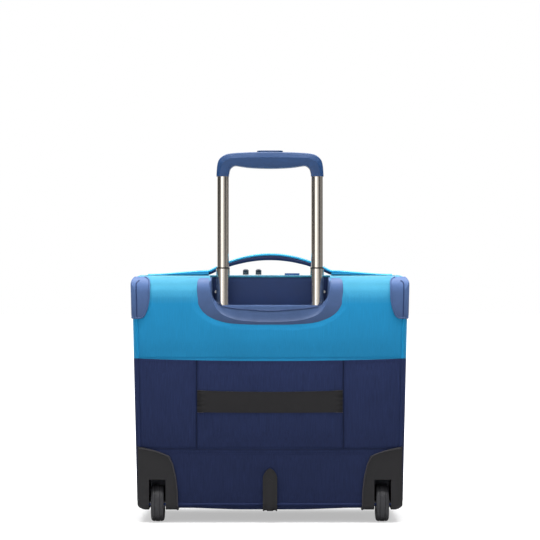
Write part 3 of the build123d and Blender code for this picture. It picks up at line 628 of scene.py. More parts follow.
def rear_sheet(name, x_range, z_range, puff, seed, columns, rows, drop=None, tuck=1.1 * MM, bow=(0.0, 0.0)):
    """Padded panel on the rear between two heights; x_range gives both edges at a height."""

    def place(u, v):
        z = z_range[0] + v * (z_range[1] - z_range[0])
        left, right = x_range(z)
        x = left + u * (right - left)
        cross = 1 - (x / WIDE_HALF) ** 2
        z += (bow[0] * (1 - v) + bow[1] * v) * cross
        edge = min((x - left), (right - x), abs(z - z_range[0]), abs(z_range[1] - z))
        swell = puff * smooth(edge / (30 * MM))
        swell += 0.45 * MM * wrinkle(x, seed, z, 22, seed) * smooth(edge / (12 * MM))
        swell += 0.16 * MM * wrinkle(x, 0, z * 0.35, 90, seed + 4) * smooth(edge / (8 * MM))
        band_low, band_high = BOXES["luggage_band"]
        nearby = max(0.0, band_low.z - z, z - band_high.z)
        if abs(x) < band_high.x:
            pleat = wrinkle(x, 0, 0, 55, 63.0) + 0.5 * wrinkle(x, 0, 0, 120, 71.0)
            swell += 0.9 * MM * pleat * math.exp(-nearby / (16 * MM)) * smooth((band_high.x - abs(x)) / (12 * MM))
        swell -= tuck * near_seam(edge, 2.0 * MM)
        swell *= 1 - smooth((z - (TOP_Z - ROLL)) / ROLL)
        swell = min(swell, 0.3 * MM + 1.5 * MM * smooth(tray_gap(x, z) / (14 * MM)))
        fall = TOP_Z - z
        swell -= 1.3 * MM * smooth((34 * MM - fall) / (16 * MM)) * smooth((fall - 5 * MM) / (13 * MM))
        return Vector((x, roll_y(z, swell), z))

    return formed(name, columns, rows, place, (0, -1, 0), drop=drop)


def build_rear_panels(fabric):
    """The upper, centre, side and lower panels of the rear."""
    crown = TOP_Z - SEAM_INSET + 2.5 * MM
    sole = BOTTOM_Z + SEAM_INSET - 2.5 * MM
    tyre_low, tyre_high = BOXES["tyre_right"]
    firm = fabric.puff * 0.8

    def whole(z):
        half = seam_half(min(max(z, sole + 3 * MM), crown - 3 * MM))
        return -half, half

    def under_tray(spot):
        return tray_gap(spot.x, spot.z) < -3.2 * MM

    def in_slot(spot):
        reach = 4.6 * MM
        return tyre_low.x - reach < abs(spot.x) < tyre_high.x + reach and spot.z < tyre_high.z + 12 * MM

    middle = (SEAM_Z, COLOUR_Z)
    bows = (-SEAM_BOW, -COLOUR_BOW)
    for name, edges, heights, puff, seed, columns, rows, drop, bow, cloth, node in (
        ("upper", whole, (COLOUR_Z, crown), fabric.puff, 3.0, 260, 90, under_tray, (-COLOUR_BOW, 0.0),
         "turquoise", "rear_panel_upper"),
        ("centre", lambda z: (-CENTRE_HALF, CENTRE_HALF), middle, fabric.puff, 7.0, 190, 90, None, bows, "navy",
         "rear_panel_centre"),
        ("side_right", lambda z: (CENTRE_HALF, seam_half(z)), middle, firm, 11.0, 70, 80, None, bows, "navy",
         "rear_panel_sides"),
        ("side_left", lambda z: (-seam_half(z), -CENTRE_HALF), middle, firm, 15.0, 70, 80, None, bows, "navy",
         "rear_panel_sides"),
        ("lower", whole, (sole, SEAM_Z), firm, 19.0, 260, 70, in_slot, bows[:1] * 2, "navy", "rear_panel_lower"),
    ):
        panel = rear_sheet(f"rear_cloth_{name}", edges, heights, puff, seed, columns, rows, drop, bow=bow)
        clothe(panel, "case", cloth, node)


def build_piping(fabric):
    """Piping down both sides and along the bottom of the rear."""
    points = []
    start = side_run(low("corner_guards").z + 2 * MM)
    split = side_run(COLOUR_Z)
    runs = [start + (split - start) * step / 20 for step in range(21)]
    runs += [split + (5 - split) * step / 100 for step in range(1, 101)]
    for run in runs:
        x, z = outline_at(run, SEAM_INSET - 0.4 * MM)
        points.append(Vector((x, REAR_Y + 0.2 * MM, z)))
    points += [Vector((-p.x, p.y, p.z)) for p in reversed(points[:-1])]
    for name, run, cloth in (("piping_upper_right", points[:21], "turquoise_trim"),
                             ("piping_upper_left", points[-21:], "turquoise_trim"),
                             ("piping_lower", points[20:-20], "navy_trim")):
        cord(name, run, fabric.piping, cloth, "fabric_navy", replaces=["rear_piping"])


def gusset_place(run_from, run_to, y_end, puff, seed, side):
    """Place function for a strip of the gusset between two runs, from the rear seam to y_end."""
    turns = 0.22

    def place(u, v):
        run = run_from + u * (run_to - run_from)
        edge_u = min(u, 1 - u)
        if v < turns:
            angle = v / turns * math.pi / 2
            inset = EDGE * (1 - math.sin(angle)) + (SEAM_INSET - EDGE) * (1 - v / turns)
            y = REAR_Y + EDGE * (1 - math.cos(angle))
            lift = 0.0
        else:
            share = (v - turns) / (1 - turns)
            inset = 0.0
            y = REAR_Y + EDGE + share * (y_end - REAR_Y - EDGE)
            swell = smooth(min(share, 1 - share) / 0.3) * smooth(edge_u / 0.06)
            x, z = outline_at(run)
            lift = puff * swell + 0.5 * MM * wrinkle(x, y, z, 20, seed) * swell
            if z < BOTTOM_Z + 1 * MM:
                lift += 2.4 * MM * smooth((130 * MM - abs(x)) / (90 * MM)) * smooth((1 - share) / 0.1)
        x, z = outline_at(run, inset - lift)
        y = max(y, roll_y(z))
        return Vector((side * x, y, z))

    return place


def build_gusset(fabric):
    """Top, side and bottom panels between the rear seam and the zip."""
    split = side_run(COLOUR_Z)
    foot_run = 5 - high("bottom_panel").x / (straight_half(BOTTOM_Z + CORNER) - CORNER)
    for name, start, end, count, cloth in (("upper", 1.0, split, 44, "turquoise"),
                                           ("lower", split, foot_run, 70, "navy")):
        for side, word in SIDES:
            place = gusset_place(start, end, CASE_ZIP_Y, fabric.puff, 5.0 + side, side)
            panel = formed(f"side_cloth_{name}_{word}", count, 40, place, (side, 0, 0), drop=in_wheel_well)
            clothe(panel, "case", cloth, f"side_panels_{name}")
    for name, start, end, up, cloth, drop in (("top", 0.0, 1.0, 1, "turquoise", in_tray),
                                              ("bottom", foot_run, 5.0, -1, "navy", None)):
        place = gusset_place(start, end, CASE_ZIP_Y, 0.6 * MM, 9.0, 1)
        panel = formed(f"{name}_cloth", 60, 40, place, (0, 0, up), drop=drop, mirror=True)
        clothe(panel, "case", cloth, f"{name}_panel")


def in_wheel_well(spot):
    """Whether a point of the shell is inside a wheel well."""
    box_low, box_high = BOXES["tyre_right"]
    gap = 3.6 * MM
    inside_x = box_low.x - gap < abs(spot.x) < box_high.x + gap
    return inside_x and spot.z < BOTTOM_Z + 8 * MM and spot.y < box_high.y + 4 * MM


def in_tray(spot):
    """Whether a point of the top is inside the tray."""
    corner = high("trolley_tray")
    return abs(spot.x) < corner.x - 19 * MM and spot.y < corner.y - 2 * MM


def build_front():
    """Fixed strip under the lid, and the lid's rim and face."""
    hinge_run = side_run(HINGE_Z)
    front_edge = 6 * MM

    def rim(run_from, run_to, y_from):
        turns = 0.72

        def place(u, v):
            run = run_from + u * (run_to - run_from)
            if v > turns:
                angle = (v - turns) / (1 - turns) * math.pi / 2
                inset = front_edge * (1 - math.cos(angle))
                y = LID_Y - front_edge + front_edge * math.sin(angle)
            else:
                share = v / turns
                swell = smooth(min(share, 1 - share) / 0.4)
                x, z = outline_at(run)
                inset = -(1.0 * MM + 0.3 * MM * wrinkle(x, y_from, z, 18, 2.0)) * swell
                y = y_from + share * (LID_Y - front_edge - y_from)
            x, z = outline_at(run, inset)
            return Vector((x, y, z))

        return place

    split = side_run(COLOUR_Z)
    for name, start, end, cloth, body, node, y_from in (
        ("lid_rim_upper", 0.0, split, "turquoise", "lid", "lid_shell", LID_ZIP_Y),
        ("lid_rim_lower", split, hinge_run - 0.001, "navy", "lid", "lid_shell", LID_ZIP_Y),
        ("front_strip_rim", hinge_run, 5.0, "navy", "case", "front_lower_panel", CASE_ZIP_Y),
    ):
        clothe(formed(name, 90, 20, rim(start, end, y_from), (1, 0, 0.2), mirror=True), body, cloth, node)

    def face(z_from, z_to, puff, seed):
        def place(u, v):
            z = z_from + v * (z_to - z_from)
            clamped = min(max(z, BOTTOM_Z + front_edge + 0.3 * MM), TOP_Z - front_edge - 0.3 * MM)
            half = outline_half(clamped, front_edge)
            x = -half + 2 * half * u
            edge = min(x + half, half - x, z - z_from, z_to - z)
            swell = puff * smooth(edge / (35 * MM)) - 0.8 * MM * near_seam(edge, 3 * MM)
            swell += 0.4 * MM * wrinkle(x, seed, z, 20, seed) * smooth(edge / (12 * MM))
            return Vector((x, LID_Y + swell, z))

        return place

    for name, z_from, z_to, puff, seed, rows, cloth, body, node in (
        ("lid_face_upper", COLOUR_Z, TOP_Z - front_edge, 0.8 * MM, 21.0, 40, "turquoise", "lid", "lid_shell"),
        ("lid_face_lower", HINGE_Z + 0.4 * MM, COLOUR_Z, 0.6 * MM, 25.0, 50, "navy", "lid", "lid_shell"),
        ("front_strip_face", BOTTOM_Z + front_edge, HINGE_Z, 0.8 * MM, 29.0, 18, "navy", "case",
         "front_lower_panel"),
    ):
        clothe(formed(name, 110, rows, face(z_from, z_to, puff, seed), (0, 1, 0)), body, cloth, node)


def build_pocket():
    """Slip pocket on the lid: a soft pouch with a bound mouth."""
    box_low, box_high = BOXES["front_pocket"]
    half = box_high.x
    depth = box_high.y - box_low.y
    height = box_high.z - box_low.z

    def place(u, v):
        flat_x = math.sin((u - 0.5) * math.pi)
        side_in = 1 - abs(flat_x)
        bottom_in = v = 1 - math.cos(v * math.pi / 2)
        near = min(side_in * half, bottom_in * height)
        wall = math.sqrt(1 - (1 - min(near / (17 * MM), 1.0)) ** 2)
        bulge = 1 - 0.16 * (1 - v) - 0.05 * abs(flat_x)
        sag = 0.8 * MM * wrinkle(u * 0.3, 0, v * 0.2, 16, 33.0)
        y = box_low.y + (depth - 1.2 * MM) * wall * bulge + sag * wall
        x = flat_x * (half - 1.0 * MM * (1 - wall))
        z = box_low.z + height * v - 2.5 * MM * (1 - flat_x * flat_x) * v ** 6
        return Vector((x, y, z))

    pouch = thicken(formed("pocket_pouch", 130, 90, place, (0, 1, 0), 60), 1.8 * MM, 1)
    dress(pouch, "lid", finish("navy"), finish("lining"), slot="fabric_navy", replaces=["front_pocket"])
    rim = [place(step / 60, 1.0) + Vector((0, -0.9 * MM, 0)) for step in range(61)]
    cord("pocket_binding", rim, 1.5 * MM, "turquoise_trim", "fabric_turquoise", "lid")


# ---- Mouldings ----


def curve_at(points, share):
    """Point on a smooth curve through points, share from 0 to 1 of its length; its end mirrors across X 0."""
    spans = [math.dist(a, b) for a, b in zip(points, points[1:])]
    goal = min(max(share, 0.0), 1.0) * sum(spans)
    index = 0
    while index < len(spans) - 1 and goal > spans[index]:
        goal -= spans[index]
        index += 1
    t = min(goal / spans[index], 1.0)
    before = points[index - 1] if index else tuple(2 * a - b for a, b in zip(points[0], points[1]))
    if index + 2 < len(points):
        after = points[index + 2]
    elif points[-1][0] == 0:
        after = (-points[-2][0], *points[-2][1:])
    else:
        after = tuple(2 * a - b for a, b in zip(points[-1], points[-2]))
    here, there = points[index], points[index + 1]
    return tuple(
        0.5 * (2 * q + (r - p) * t + (2 * p - 5 * q + 4 * r - o) * t * t + (3 * q - p - 3 * r + o) * t * t * t)
        for p, q, r, o in zip(before, here, there, after)
    )


def across_curve(points, share):
    """Point of a half curve carried on to its mirror image, share 0 at its right-hand start."""
    if share <= 0.5:
        return curve_at(points, share * 2)
    x, z = curve_at(points, (1 - share) * 2)
    return -x, z


def scaled(points):
    """Points given in millimetres, as metres."""
    return [tuple(number * MM for number in point) for point in points]


def build_tray():
    """Tray moulding: rim, bezel, scoop, lip, well floor and the well's front wall."""
    top = high("trolley_tray").z
    outer = scaled([(104.6, 367.0), (107.6, 365.4), (108.7, 361.5), (108.8, 350), (108.6, 334), (107.2, 325.4),
                    (98.4, 313.4), (84, 304.9), (62.5, 299.2), (31, 297.1), (0, 297)])
    scoop = scaled([(92.0, 367.0), (90.2, 352), (88.4, 340), (84.6, 328.6), (74.5, 314.4), (52.4, 305.0),
                    (25, 301.8), (0, 301.2)])
    lip = scaled([(89.6, 368.0), (88.8, 350), (86.6, 340.4), (82.6, 333.0), (73.6, 325.6), (60.5, 321.9),
                  (36, 319.4), (0, 317.4)])
    wall = scaled([(88.2, 368.0), (88.0, 352), (87.6, 340), (86.4, 331.5), (82.6, 327.3), (74.4, 325.9), (61, 325.6),
                   (36, 325.5), (0, 325.5)])
    front = scaled([(87.6, 368.0), (87.4, 352), (87.0, 341), (86.0, 332.5), (82.2, 328), (74, 326.4), (61, 325.8),
                    (36, 325.7), (0, 325.7)])
    edge = scaled([(87.6, 368.0), (80, 368.0), (66, 368.0), (50, 368.0), (30, 368.0), (15, 368.0), (0, 368.0)])
    back = high("trolley_tray").y
    rows = (
        (outer, scoop, -0.10, -2.0, 0.0), (outer, scoop, 0.0, 0.2, 0.0), (outer, scoop, 0.05, 1.2, 0.0),
        (outer, scoop, 0.16, 1.65, 0.0), (outer, scoop, 0.5, 1.75, 0.0), (outer, scoop, 0.86, 1.55, 0.0),
        (outer, scoop, 0.95, 1.2, 0.0), (scoop, lip, 0.0, 0.4, 0.0), (scoop, lip, 0.08, -0.6, 0.0),
        (scoop, lip, 0.3, 0.0, 2.6), (scoop, lip, 0.6, 0.0, 4.4), (scoop, lip, 0.9, 0.0, 5.4),
        (scoop, lip, 1.0, 0.0, 5.9), (lip, wall, 0.1, 0.0, 6.6), (lip, wall, 0.5, 0.0, 7.2),
        (lip, wall, 0.9, 0.0, 7.8), (wall, front, 0.0, 0.0, 9.2), (wall, front, 0.1, 0.0, 14.0),
        (wall, front, 0.2, 0.0, 19.0), (wall, front, 0.3, 0.0, 24.0), (wall, front, 0.4, 0.0, 29.0),
        (wall, front, 0.5, 0.0, 34.0), (wall, front, 0.6, 0.0, 38.5), (wall, front, 0.8, 0.0, 40.8),
        (front, edge, 0.02, 0.0, 42.0), (front, edge, 0.2, 0.0, 42.0), (front, edge, 0.4, 0.0, 42.0),
        (front, edge, 0.6, 0.0, 42.0), (front, edge, 0.8, 0.0, 42.0), (front, edge, 0.96, 0.0, 42.0),
        (front, edge, 1.0, 0.0, 42.7), (front, edge, 1.0, 0.0, 44.4), (front, edge, 0.9, 0.0, 44.5),
    )

    def place(u, v):
        first, second, mix, lift, depth = rows[round(v * (len(rows) - 1))]
        a = across_curve(first, u)
        b = across_curve(second, u)
        x, z = (p + (q - p) * mix for p, q in zip(a, b))
        z = min(z, top)
        y = REAR_Y + depth * MM if depth else roll_y(z, lift * MM)
        y = min(max(y, roll_y(z, min(lift, 0.4) * MM)), back)
        return Vector((x, y, z))

    bores = [Vector((side * TUBE_X, TUBE_Y)) for side in (-1, 1)]

    def over_bore(spot):
        near = min((Vector((spot.x, spot.y)) - bore).length for bore in bores)
        return near < 13.8 * MM and spot.z < low("trolley_tray").z + 40 * MM

    bm = formed_bmesh(150, len(rows) - 1, place, drop=over_bore)
    point_faces(bm, Vector((0, -1, 0)))
    # The well's front wall takes the second, darker finish: painted shade in the recess.
    for face in bm.faces:
        if face.calc_center_median().y > back - 6 * MM and face.normal.y < -0.5:
            face.material_index = 1
    # A dark cord along the lip: painted shade in the crease.
    crease = []
    for step in range(61):
        x, z = across_curve(lip, 0.17 + 0.66 * step / 60)
        crease.append(Vector((x, REAR_Y + 5.5 * MM, z + 0.2 * MM)))
    cord("tray_crease_shade", crease, 0.55 * MM, "well", "tray_plastic")
    piece = thicken(finish_mesh(bm, "tray_moulding", 32), 1.2 * MM)
    dress(piece, "case", finish("tray"), finish("well"), slot="tray_plastic", replaces=["trolley_tray"])
    bm = bmesh.new()
    for bore in bores:
        spin_profile(bm, (bore.x, bore.y, low("trolley_tray").z + 29 * MM),
                     ((10.9, -3.0), (10.9, -0.5), (11.3, -0.1), (15.0, -0.1), (16.6, -0.6), (17.4, -3.0)), 48)
    collars = finish_mesh(bm, "tray_collars", 30)
    dress(collars, "case", finish("tray"), slot="tray_plastic")


def spin_profile(bm, centre, profile, steps, axis=(0, 0, 1)):
    """Spin a profile of (radius, height) points in millimetres round an axis through centre."""
    turn = Vector((0, 0, 1)).rotation_difference(Vector(axis)).to_matrix()
    spot = Vector(centre)
    verts = [bm.verts.new(spot + turn @ (Vector((radius, 0, height)) * MM)) for radius, height in profile]
    edges = [bm.edges.new(pair) for pair in zip(verts, verts[1:])]
    made = bmesh.ops.spin(bm, geom=verts + edges, cent=spot, axis=turn @ Vector((0, 0, 1)), angle=2 * math.pi,
                          steps=steps, use_merge=True)
    bmesh.ops.remove_doubles(bm, verts=bm.verts, dist=0.002 * MM)
    face_outwards(bm)
    return made


def build_guard_rims(mould):
    """Raised outline round each corner guard."""
    box_low, box_high = BOXES["corner_guards"]
    proud = REAR_Y - box_low.y
    inner = scaled([(196.4, 307.0), (192.2, 307.9), (188.4, 311.4), (184.4, 321.5), (181.8, 334), (181.2, 346),
                    (181.1, 360), (181.9, 364.4), (184.4, 367.2), (188.0, 368.4)])
    bottom = low("corner_guards").z
    side_x = straight_half(bottom) + proud - 0.9 * MM
    points = [Vector((side_x + 0.1 * MM, box_high.y - 1 * MM, bottom + 0.6 * MM)),
              Vector((side_x, REAR_Y + 12 * MM, bottom + 0.5 * MM))]
    for step in range(9):
        turn = step / 8 * math.pi / 2
        reach = EDGE + proud
        points.append(Vector((side_x - reach * (1 - math.cos(turn)), REAR_Y + EDGE - reach * math.sin(turn),
                              bottom + 0.5 * MM)))
    for step in range(33):
        x, z = curve_at(inner, step / 32)
        points.append(Vector((x, roll_y(z, proud), z)))
    for side, word in SIDES:
        rim = [Vector((side * p.x, p.y, p.z)) for p in points]
        cord(f"guard_rim_{word}", rim, mould.guard_rim, "guard", "tray_plastic")
        # A dark cord down each guard: painted shade in the groove.
        crease = []
        for step in range(41):
            z = bottom + 1.2 * MM + (TOP_Z - 8.0 * MM - bottom) * step / 40
            x = outline_half(z, SEAM_INSET)
            crease.append(Vector((side * x, roll_y(z, proud) - 0.05 * MM, z)))
        cord(f"guard_crease_{word}", crease, 0.75 * MM, "well", "tray_plastic")


def build_housing_rims():
    """Paler lip round the face of each wheel housing."""
    edge = scaled([(196.8, 111.9), (186.9, 110.6), (171.6, 107.3), (157.5, 102.4), (152.6, 99.6), (150.6, 97.0),
                   (146.2, 88.2), (141.8, 69.9), (139.0, 46.9), (138.4, 24.4)])
    y = low("wheel_housing_left").y
    for side, word in SIDES:
        points = []
        for a, b in zip(edge, edge[1:]):
            for step in range(6):
                mix = step / 6
                points.append(Vector((side * (a[0] + (b[0] - a[0]) * mix), y + 0.25 * MM,
                                      a[1] + (b[1] - a[1]) * mix)))
        points.append(Vector((side * edge[-1][0], y + 0.25 * MM, edge[-1][1])))
        cord(f"housing_rim_{word}", points, 0.95 * MM, "rim", "black_plastic")


def build_grip():
    """Grip: an arch of one section with a chamfered shoulder, open at the top for the button."""
    outer = scaled([(80.8, 520.2), (80.4, 528), (79.6, 536.4), (77.6, 543.9), (73, 549.5), (66.6, 553.2),
                    (56.5, 555.1), (38, 556.2), (19.1, 556.8), (0, 557)])
    inner = scaled([(62.1, 520.2), (61.6, 524.5), (60.2, 530.2), (57, 534.2), (52.1, 536.1), (41.5, 534.6),
                    (31, 533.3), (15, 532.4), (0, 532.1)])
    shoulder = scaled([(76.2, 520.2), (75.3, 526), (73.9, 532.7), (71.9, 538.2), (68.9, 542), (60.2, 546.4),
                       (47.7, 547.9), (24, 548.4), (0, 548.5)])
    box_low, box_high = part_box("grip_body")
    middle = (box_low.y + box_high.y) / 2
    half = (box_high.y - box_low.y) / 2
    soft = 3.2 * MM
    rows = [(inner, shoulder, 0.0, 0.0)]
    for turn in range(5):
        angle = turn / 4 * math.pi / 2
        rows.append((inner, shoulder, 0.16 * (1 - math.cos(angle)), half - soft * (1 - math.sin(angle))))
    rows += [(inner, shoulder, 0.5, half + 0.2 * MM), (inner, shoulder, 0.97, half), (shoulder, outer, 0.0, half),
             (shoulder, outer, 0.5, half - 1.6 * MM), (shoulder, outer, 0.88, half - 3.0 * MM),
             (shoulder, outer, 0.97, half - 4.0 * MM), (shoulder, outer, 1.0, half - 5.4 * MM),
             (shoulder, outer, 1.0, 0.0)]
    ring = [(row, -1) for row in rows] + [(row, 1) for row in reversed(rows[1:-1])] + [(rows[0], -1)]

    def place(u, v):
        (first, second, mix, depth), side = ring[round(u * (len(ring) - 1))]
        a = across_curve(first, v)
        b = across_curve(second, v)
        x, z = (p + (q - p) * mix for p, q in zip(a, b))
        return Vector((x, middle + side * depth, z))

    bm = formed_bmesh(len(ring) - 1, 110, place, wrap=True, cap=True)
    button_low, button_high = BOXES["release_button"]
    gap = 0.5 * MM
    for spot, normal in (((button_high.x + gap, 0, 0), (1, 0, 0)), ((button_low.x - gap, 0, 0), (1, 0, 0)),
                         ((0, button_high.y + gap, 0), (0, 1, 0)), ((0, button_low.y - gap, 0), (0, 1, 0))):
        bmesh.ops.bisect_plane(bm, geom=bm.verts[:] + bm.edges[:] + bm.faces[:], dist=0.001 * MM, plane_co=spot,
                               plane_no=normal)
    face_outwards(bm)

    def over_button(spot):
        along = button_low.x - gap < spot.x < button_high.x + gap
        across = button_low.y - gap < spot.y < button_high.y + gap
        return along and across and spot.z > 550 * MM

    gone = [face for face in bm.faces if over_button(face.calc_center_median())]
    bmesh.ops.delete(bm, geom=gone, context="FACES")
    mouth = [edge for edge in bm.edges if len(edge.link_faces) == 1]
    skirt = bmesh.ops.extrude_edge_only(bm, edges=mouth)["geom"]
    deep = [item for item in skirt if isinstance(item, bmesh.types.BMVert)]
    for vert in deep:
        vert.co.z = max(button_low.z - 4.5 * MM, 533.4 * MM)
    floor = [edge for edge in bm.edges if len(edge.link_faces) == 1]
    bmesh.ops.holes_fill(bm, edges=floor)
    face_outwards(bm)
    grip = finish_mesh(bm, "grip_moulding", 17)
    dress(grip, "stage2", finish("grip"), slot="grip_plastic", replaces=["grip_body", "grip_cap"])
    mid = (button_low + button_high) / 2
    points = []
    for step in range(48):
        turn = step / 48 * 2 * math.pi
        reach_x = 16.6 * MM * signed_power(math.cos(turn), 0.45)
        reach_y = 5.6 * MM * signed_power(math.sin(turn), 0.45)
        points.append(Vector((reach_x, mid.y + reach_y, button_high.z - 0.1 * MM)))
    # A raised ring on the button, paler than the grip as a painted highlight.
    cord("button_highlight_ring", points, 0.45 * MM, "tray", "grip_plastic", "release", cyclic=True)


def build_tyres():
    """Tread of each wheel: rounded shoulders and shallow grooves."""
    for word in ("left", "right"):
        box_low, box_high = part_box(f"tyre_{word}")
        centre = (box_low + box_high) / 2
        radius = (box_high.z - box_low.z) / 2 / MM
        half = (box_high.x - box_low.x) / 2 / MM
        bore = radius - 6.0
        profile = [(bore, -half + 1.2), (radius - 3.6, -half + 0.2), (radius - 1.5, -half + 1.1),
                   (radius - 0.3, -half + 3.2), (radius, -half + 5.4), (radius - 0.7, -half + 5.9),
                   (radius - 0.7, -half + 6.5), (radius, -half + 7.0)]
        profile += [(r, -z) for r, z in reversed(profile)]
        bm = bmesh.new()
        spin_profile(bm, centre, profile + [profile[0]], 72, axis=(1, 0, 0))
        tyre = finish_mesh(bm, f"tyre_tread_{word}", 35)
        dress(tyre, f"wheel_{word}", finish("tyre"), slot="tyre", replaces=[f"tyre_{word}"])


# ---- Webbing, pads and zips ----


def ribbon(name, line, width, thickness, columns=30):
    """Flat webbing along line(v), which gives X and Z, laid across Y."""
    centre = (low("handle_strap").y + high("handle_strap").y) / 2
    half = width / 2

    def place(u, v):
        x, z = line(v)
        flat = 2 * u - 1
        return Vector((x, centre + flat * half, z - 1.1 * MM * abs(flat) ** 9))

    return thicken(formed(name, columns, 90, place, (0, 0, 1), 50), thickness)


def handle_arch(x, crown, foot, half):
    """Height of the carry handle's arch at x."""
    return crown - (crown - foot) * (x / half) ** 2


def build_handle():
    """Carry handle: padded grip with webbing over it, and its two sewn-down ends."""
    strap_low, strap_high = BOXES["handle_strap"]
    pad_low = low("handle_pad")
    half = strap_high.x
    crown = strap_high.z
    foot = high("strap_ends").z
    thickness = 2.4 * MM
    width = strap_high.y - strap_low.y
    centre = (strap_high.y + strap_low.y) / 2

    reach = half + 17 * MM
    line = scaled([(94.4, 378.3), (112, 377.6), (135, 375.9), (160, 373.8), (176, 372.9), (187.5, 372.6)])

    def strap_top(x):
        if abs(x) <= half:
            return handle_arch(x, crown, foot, half)
        return curve_at(line, (abs(x) - half) / (93 * MM))[1] + 0.3 * MM

    def over(v):
        x = (2 * v - 1) * reach
        near = sum(strap_top(x + step * 1.5 * MM) for step in (-2, -1, 0, 1, 2)) / 5
        return x, near

    def bend(piece):
        """Bake the piece's placement into its mesh."""
        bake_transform(piece)

    for side, word in SIDES:
        strap = ribbon(f"handle_webbing_{word}", lambda v, side=side: over(0.5 + side * v / 2), width - 1 * MM,
                       thickness)
        dress(strap, None, finish("strap"), slot="webbing", replaces=["handle_strap"])
        bend(strap)
    under_crown = 394 * MM
    pad_foot = pad_low.z - 3.6 * MM

    def cushion(u, v):
        x = (2 * v - 1) * (half + 12 * MM)
        top = over(0.5 + x / reach / 2)[1] - thickness - 0.1 * MM
        bottom = max(handle_arch(x, under_crown, pad_foot, half), TOP_Z + 1.9 * MM)
        slim = 1 - 0.34 * smooth((abs(x) - 78 * MM) / (26 * MM))
        turn = u * 2 * math.pi
        rise = signed_power(math.sin(turn), 0.75)
        across = signed_power(math.cos(turn), 0.55 if rise > 0 else 1.0)
        end = min(1.0, (1 - abs(2 * v - 1)) / 0.03)
        pinch = 0.85 + 0.15 * math.sqrt(end)
        gather = 0.25 * MM * math.sin(v * 60) * smooth(abs(2 * v - 1)) * (1 - 0.4 * rise)
        mid = (top + bottom) / 2
        return Vector((x, centre + across * (width / 2 - 0.4 * MM) * pinch * slim,
                       mid + rise * ((top - bottom) / 2) + gather * 0.4))

    for side, word in SIDES:
        pad = stuffed(f"handle_cushion_{word}", 36, 60, lambda u, v, side=side: cushion(u, 0.5 + side * v / 2))
        dress(pad, None, finish("pad"), slot="fabric_navy", replaces=["handle_pad"])
        bend(pad)
    end_half = high("strap_ends").x
    ground = TOP_Z + 0.3 * MM + thickness
    for side, word in SIDES:
        def wing(v, side=side):
            x, z = curve_at(line, v)
            return side * min(x, end_half), max(z, ground)

        piece = ribbon(f"strap_end_{word}", wing, width - 1 * MM, thickness)
        dress(piece, "case", finish("strap"), slot="webbing", replaces=["strap_ends"])
        wedge(word, wing, width, thickness)
    for side, word in SIDES:
        rows = []
        for edge in (-1, 1):
            y = centre + edge * (width / 2 - 3 * MM)
            spots = [over(0.5 + side * s / 80) for s in range(41)]
            rows.append([Vector((x, y, z - 0.02 * MM)) for x, z in spots])
        bend(stitched(f"handle_stitching_{word}", rows, None, finish("thread_turquoise")))
    rows = []
    for side in (-1, 1):
        for edge in (-1, 1):
            y = centre + edge * (width / 2 - 3 * MM)
            rows.append([Vector((side * curve_at(line, s / 40)[0], y,
                                 max(curve_at(line, s / 40)[1], ground) - 0.02 * MM)) for s in range(8, 41)])
    stitched("strap_end_stitching", rows, "case", finish("thread_turquoise"))


def wedge(word, wing, width, thickness):
    """Foam wedge that carries a strap end up from the top panel."""
    centre = (low("handle_strap").y + high("handle_strap").y) / 2

    def place(u, v):
        x, z = wing(v * 0.9)
        turn = u * 2 * math.pi
        across = signed_power(math.cos(turn), 0.4)
        top = z - thickness - 0.05 * MM
        bottom = min(TOP_Z + 1.3 * MM, top - 0.3 * MM)
        rise = signed_power(math.sin(turn), 0.5)
        mid = (top + bottom) / 2
        return Vector((x, centre + across * (width / 2 - 1.6 * MM), mid + rise * max(top - bottom, 0.2 * MM) / 2))

    piece = stuffed(f"strap_wedge_{word}", 24, 50, place)
    dress(piece, "case", finish("strap"), slot="fabric_turquoise")
    # A dark cord along the wedge's lower rear edge: a painted shadow line.
    seam = []
    for step in range(41):
        x, z = wing(step / 40 * 0.92)
        seam.append(Vector((x, centre - width / 2 + 1.4 * MM, TOP_Z + 0.9 * MM)))
    cord(f"strap_seam_{word}", seam, 0.6 * MM, "navy_trim", "fabric_navy")


def build_band():
    """Elastic band that slips over another case's handle."""
    box_low, box_high = BOXES["luggage_band"]
    half = box_high.x
    height = box_high.z - box_low.z

    def place(u, v):
        flat = 2 * u - 1
        sag = 1.5 * MM * (1 - flat * flat)
        narrow = 1 - 0.045 * (1 - flat * flat)
        z = (box_low.z + box_high.z) / 2 + (v - 0.5) * height * narrow - sag
        end = (1 - abs(flat)) * half
        pucker = 0.5 * MM * math.sin(v * 2 * math.pi * 4.5) * (1 - smooth(end / (16 * MM)))
        swell = 1.5 * MM * smooth(end / (9 * MM)) + 0.25 * MM * wrinkle(flat * half, 0, z, 26, 41.0)
        return Vector((flat * half, box_low.y + 1.2 * MM - swell + pucker, z))

    band = thicken(formed("luggage_elastic", 170, 40, place, (0, -1, 0)), 1.1 * MM)
    dress(band, "case", finish("elastic"), slot="elastic_black", replaces=["luggage_band"])
    rows = []
    for side in (-1, 1):
        for inset in (2.2, 4.2):
            x = side * (half - inset * MM)
            rows.append([Vector((x, box_low.y + (0.75 - 0.16 * inset) * MM, box_low.z + height * s / 12))
                         for s in range(13)])
    stitched("band_stitching", rows, "case", finish("thread_dark"), 2.6 * MM)


def chain_path(runs, y, inset):
    """Points along the outline between two runs, on both sides of the case."""
    start, end = runs
    count = 400
    points = []
    for step in range(count + 1):
        x, z = outline_at(start + (end - start) * step / count, inset)
        points.append(Vector((x, y, z)))
    return [Vector((-p.x, p.y, p.z)) for p in reversed(points[1:])] + points


